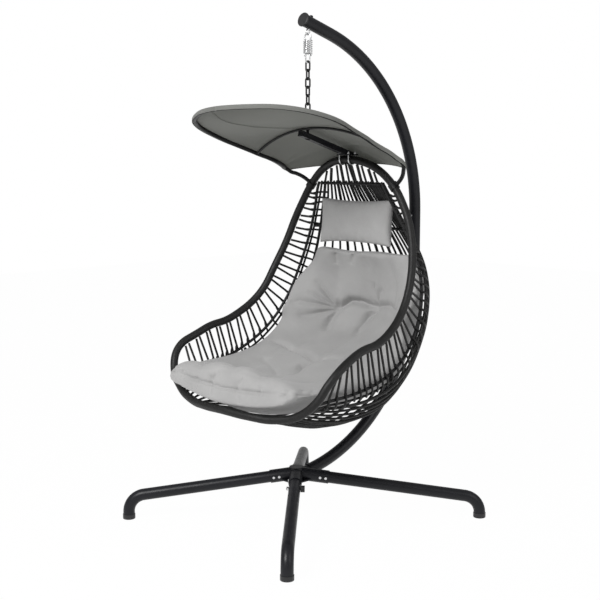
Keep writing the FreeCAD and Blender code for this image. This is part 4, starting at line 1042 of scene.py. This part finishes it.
def canopy_seams(grid):
    """The felled seam along the ridge, under the cloth, and the rolled hem behind the rim."""
    ridge = grid[2 : int(SHEET_ROWS * SEAM_SHARE), SHEET_COLUMNS // 2]
    across = np.array((1.0, 0.0, 0.0))
    seam, faces = ribbon(ridge, across, SEAM_WIDTH, SEAM_RISE, SEAM_DEPTH)
    line = resampled(grid[-1], HEM_STEP)
    hem, hem_faces = tube_data(line, HEM_RADIUS, HEM_SIDES, start=len(seam))
    return mesh_object("canopy_seams", np.concatenate([seam, hem]), faces + hem_faces)


canopy_grid = sheet_rows()
canopy, canopy_area = canopy_sheet(canopy_grid)
seams = dress(canopy_seams(canopy_grid / MM + np.array(BASKET)), "canopy_cloth")
dress(canopy, "canopy_cloth", replaces=["canopy_fabric"])


# Floor, light and camera

FLOOR_REACH = 9
# How much of the floor's colour, as the camera sees it, is plain white
FLOOR_WHITE = 0.985
LIGHT_STRENGTH = 0.42
LAMPS_AIM = (0, 0, 0.9)


def floor():
    r = FLOOR_REACH
    obj = mesh_object("floor", [(-r, -r, 0), (r, -r, 0), (r, r, 0), (-r, r, 0)], [(0, 1, 2, 3)])
    m = Material("floor", Roughness=0.9)
    m.base(m.colours(m.noise(2, 2), (0.86, 0.86, 0.86), (0.88, 0.88, 0.88)))
    glow = m.add("ShaderNodeEmission")
    path = m.add("ShaderNodeLightPath")
    seen = m.greatest(path.outputs["Is Camera Ray"], path.outputs["Is Glossy Ray"])
    seen = m.greatest(seen, path.outputs["Is Transmission Ray"])
    factor = m.add("ShaderNodeMath", operation="MULTIPLY")
    factor.inputs[1].default_value = FLOOR_WHITE
    m.link(seen, factor.inputs[0])
    m.blend(factor.outputs[0], m.shader.outputs[0], glow.outputs[0])
    paint(obj, m.material)


def world():
    """Soft light from all sides, which the camera sees as plain white."""
    made = bpy.data.worlds.new("studio")
    made.use_nodes = True
    SCENE.world = made
    nodes, links = made.node_tree.nodes, made.node_tree.links
    light, seen = nodes["Background"], nodes.new("ShaderNodeBackground")
    for background, strength in ((light, LIGHT_STRENGTH), (seen, 1.0)):
        background.inputs["Color"].default_value = (1, 1, 1, 1)
        background.inputs["Strength"].default_value = strength
    path = nodes.new("ShaderNodeLightPath")
    mix = nodes.new("ShaderNodeMixShader")
    links.new(path.outputs["Is Camera Ray"], mix.inputs["Fac"])
    links.new(light.outputs[0], mix.inputs[1])
    links.new(seen.outputs[0], mix.inputs[2])
    links.new(mix.outputs[0], nodes["World Output"].inputs["Surface"])


def lamp(name, place, side, power):
    """A square lamp that is turned to the chair's middle."""
    data = bpy.data.lights.new(name, "AREA")
    data.size = side
    data.energy = power
    obj = bpy.data.objects.new(name, data)
    SCENE.collection.objects.link(obj)
    obj.location = place
    obj.rotation_mode = "QUATERNION"
    obj.rotation_quaternion = (Vector(LAMPS_AIM) - Vector(place)).to_track_quat("-Z", "Y")


def camera():
    data = bpy.data.cameras.new("camera")
    data.lens = CAMERA_LENS
    data.sensor_width = SENSOR_WIDTH
    obj = bpy.data.objects.new("camera", data)
    SCENE.collection.objects.link(obj)
    obj.location = CAMERA_AT
    obj.rotation_euler = (math.radians(90 - CAMERA_PITCH), 0, math.radians(CAMERA_YAW))
    SCENE.camera = obj


floor()
world()
lamp("key", (0.6, -4.2, 3.6), 1.6, 215)
lamp("fill", (4.2, 0.6, 2.6), 2.5, 45)
camera()

SCENE.view_settings.view_transform = "Standard"
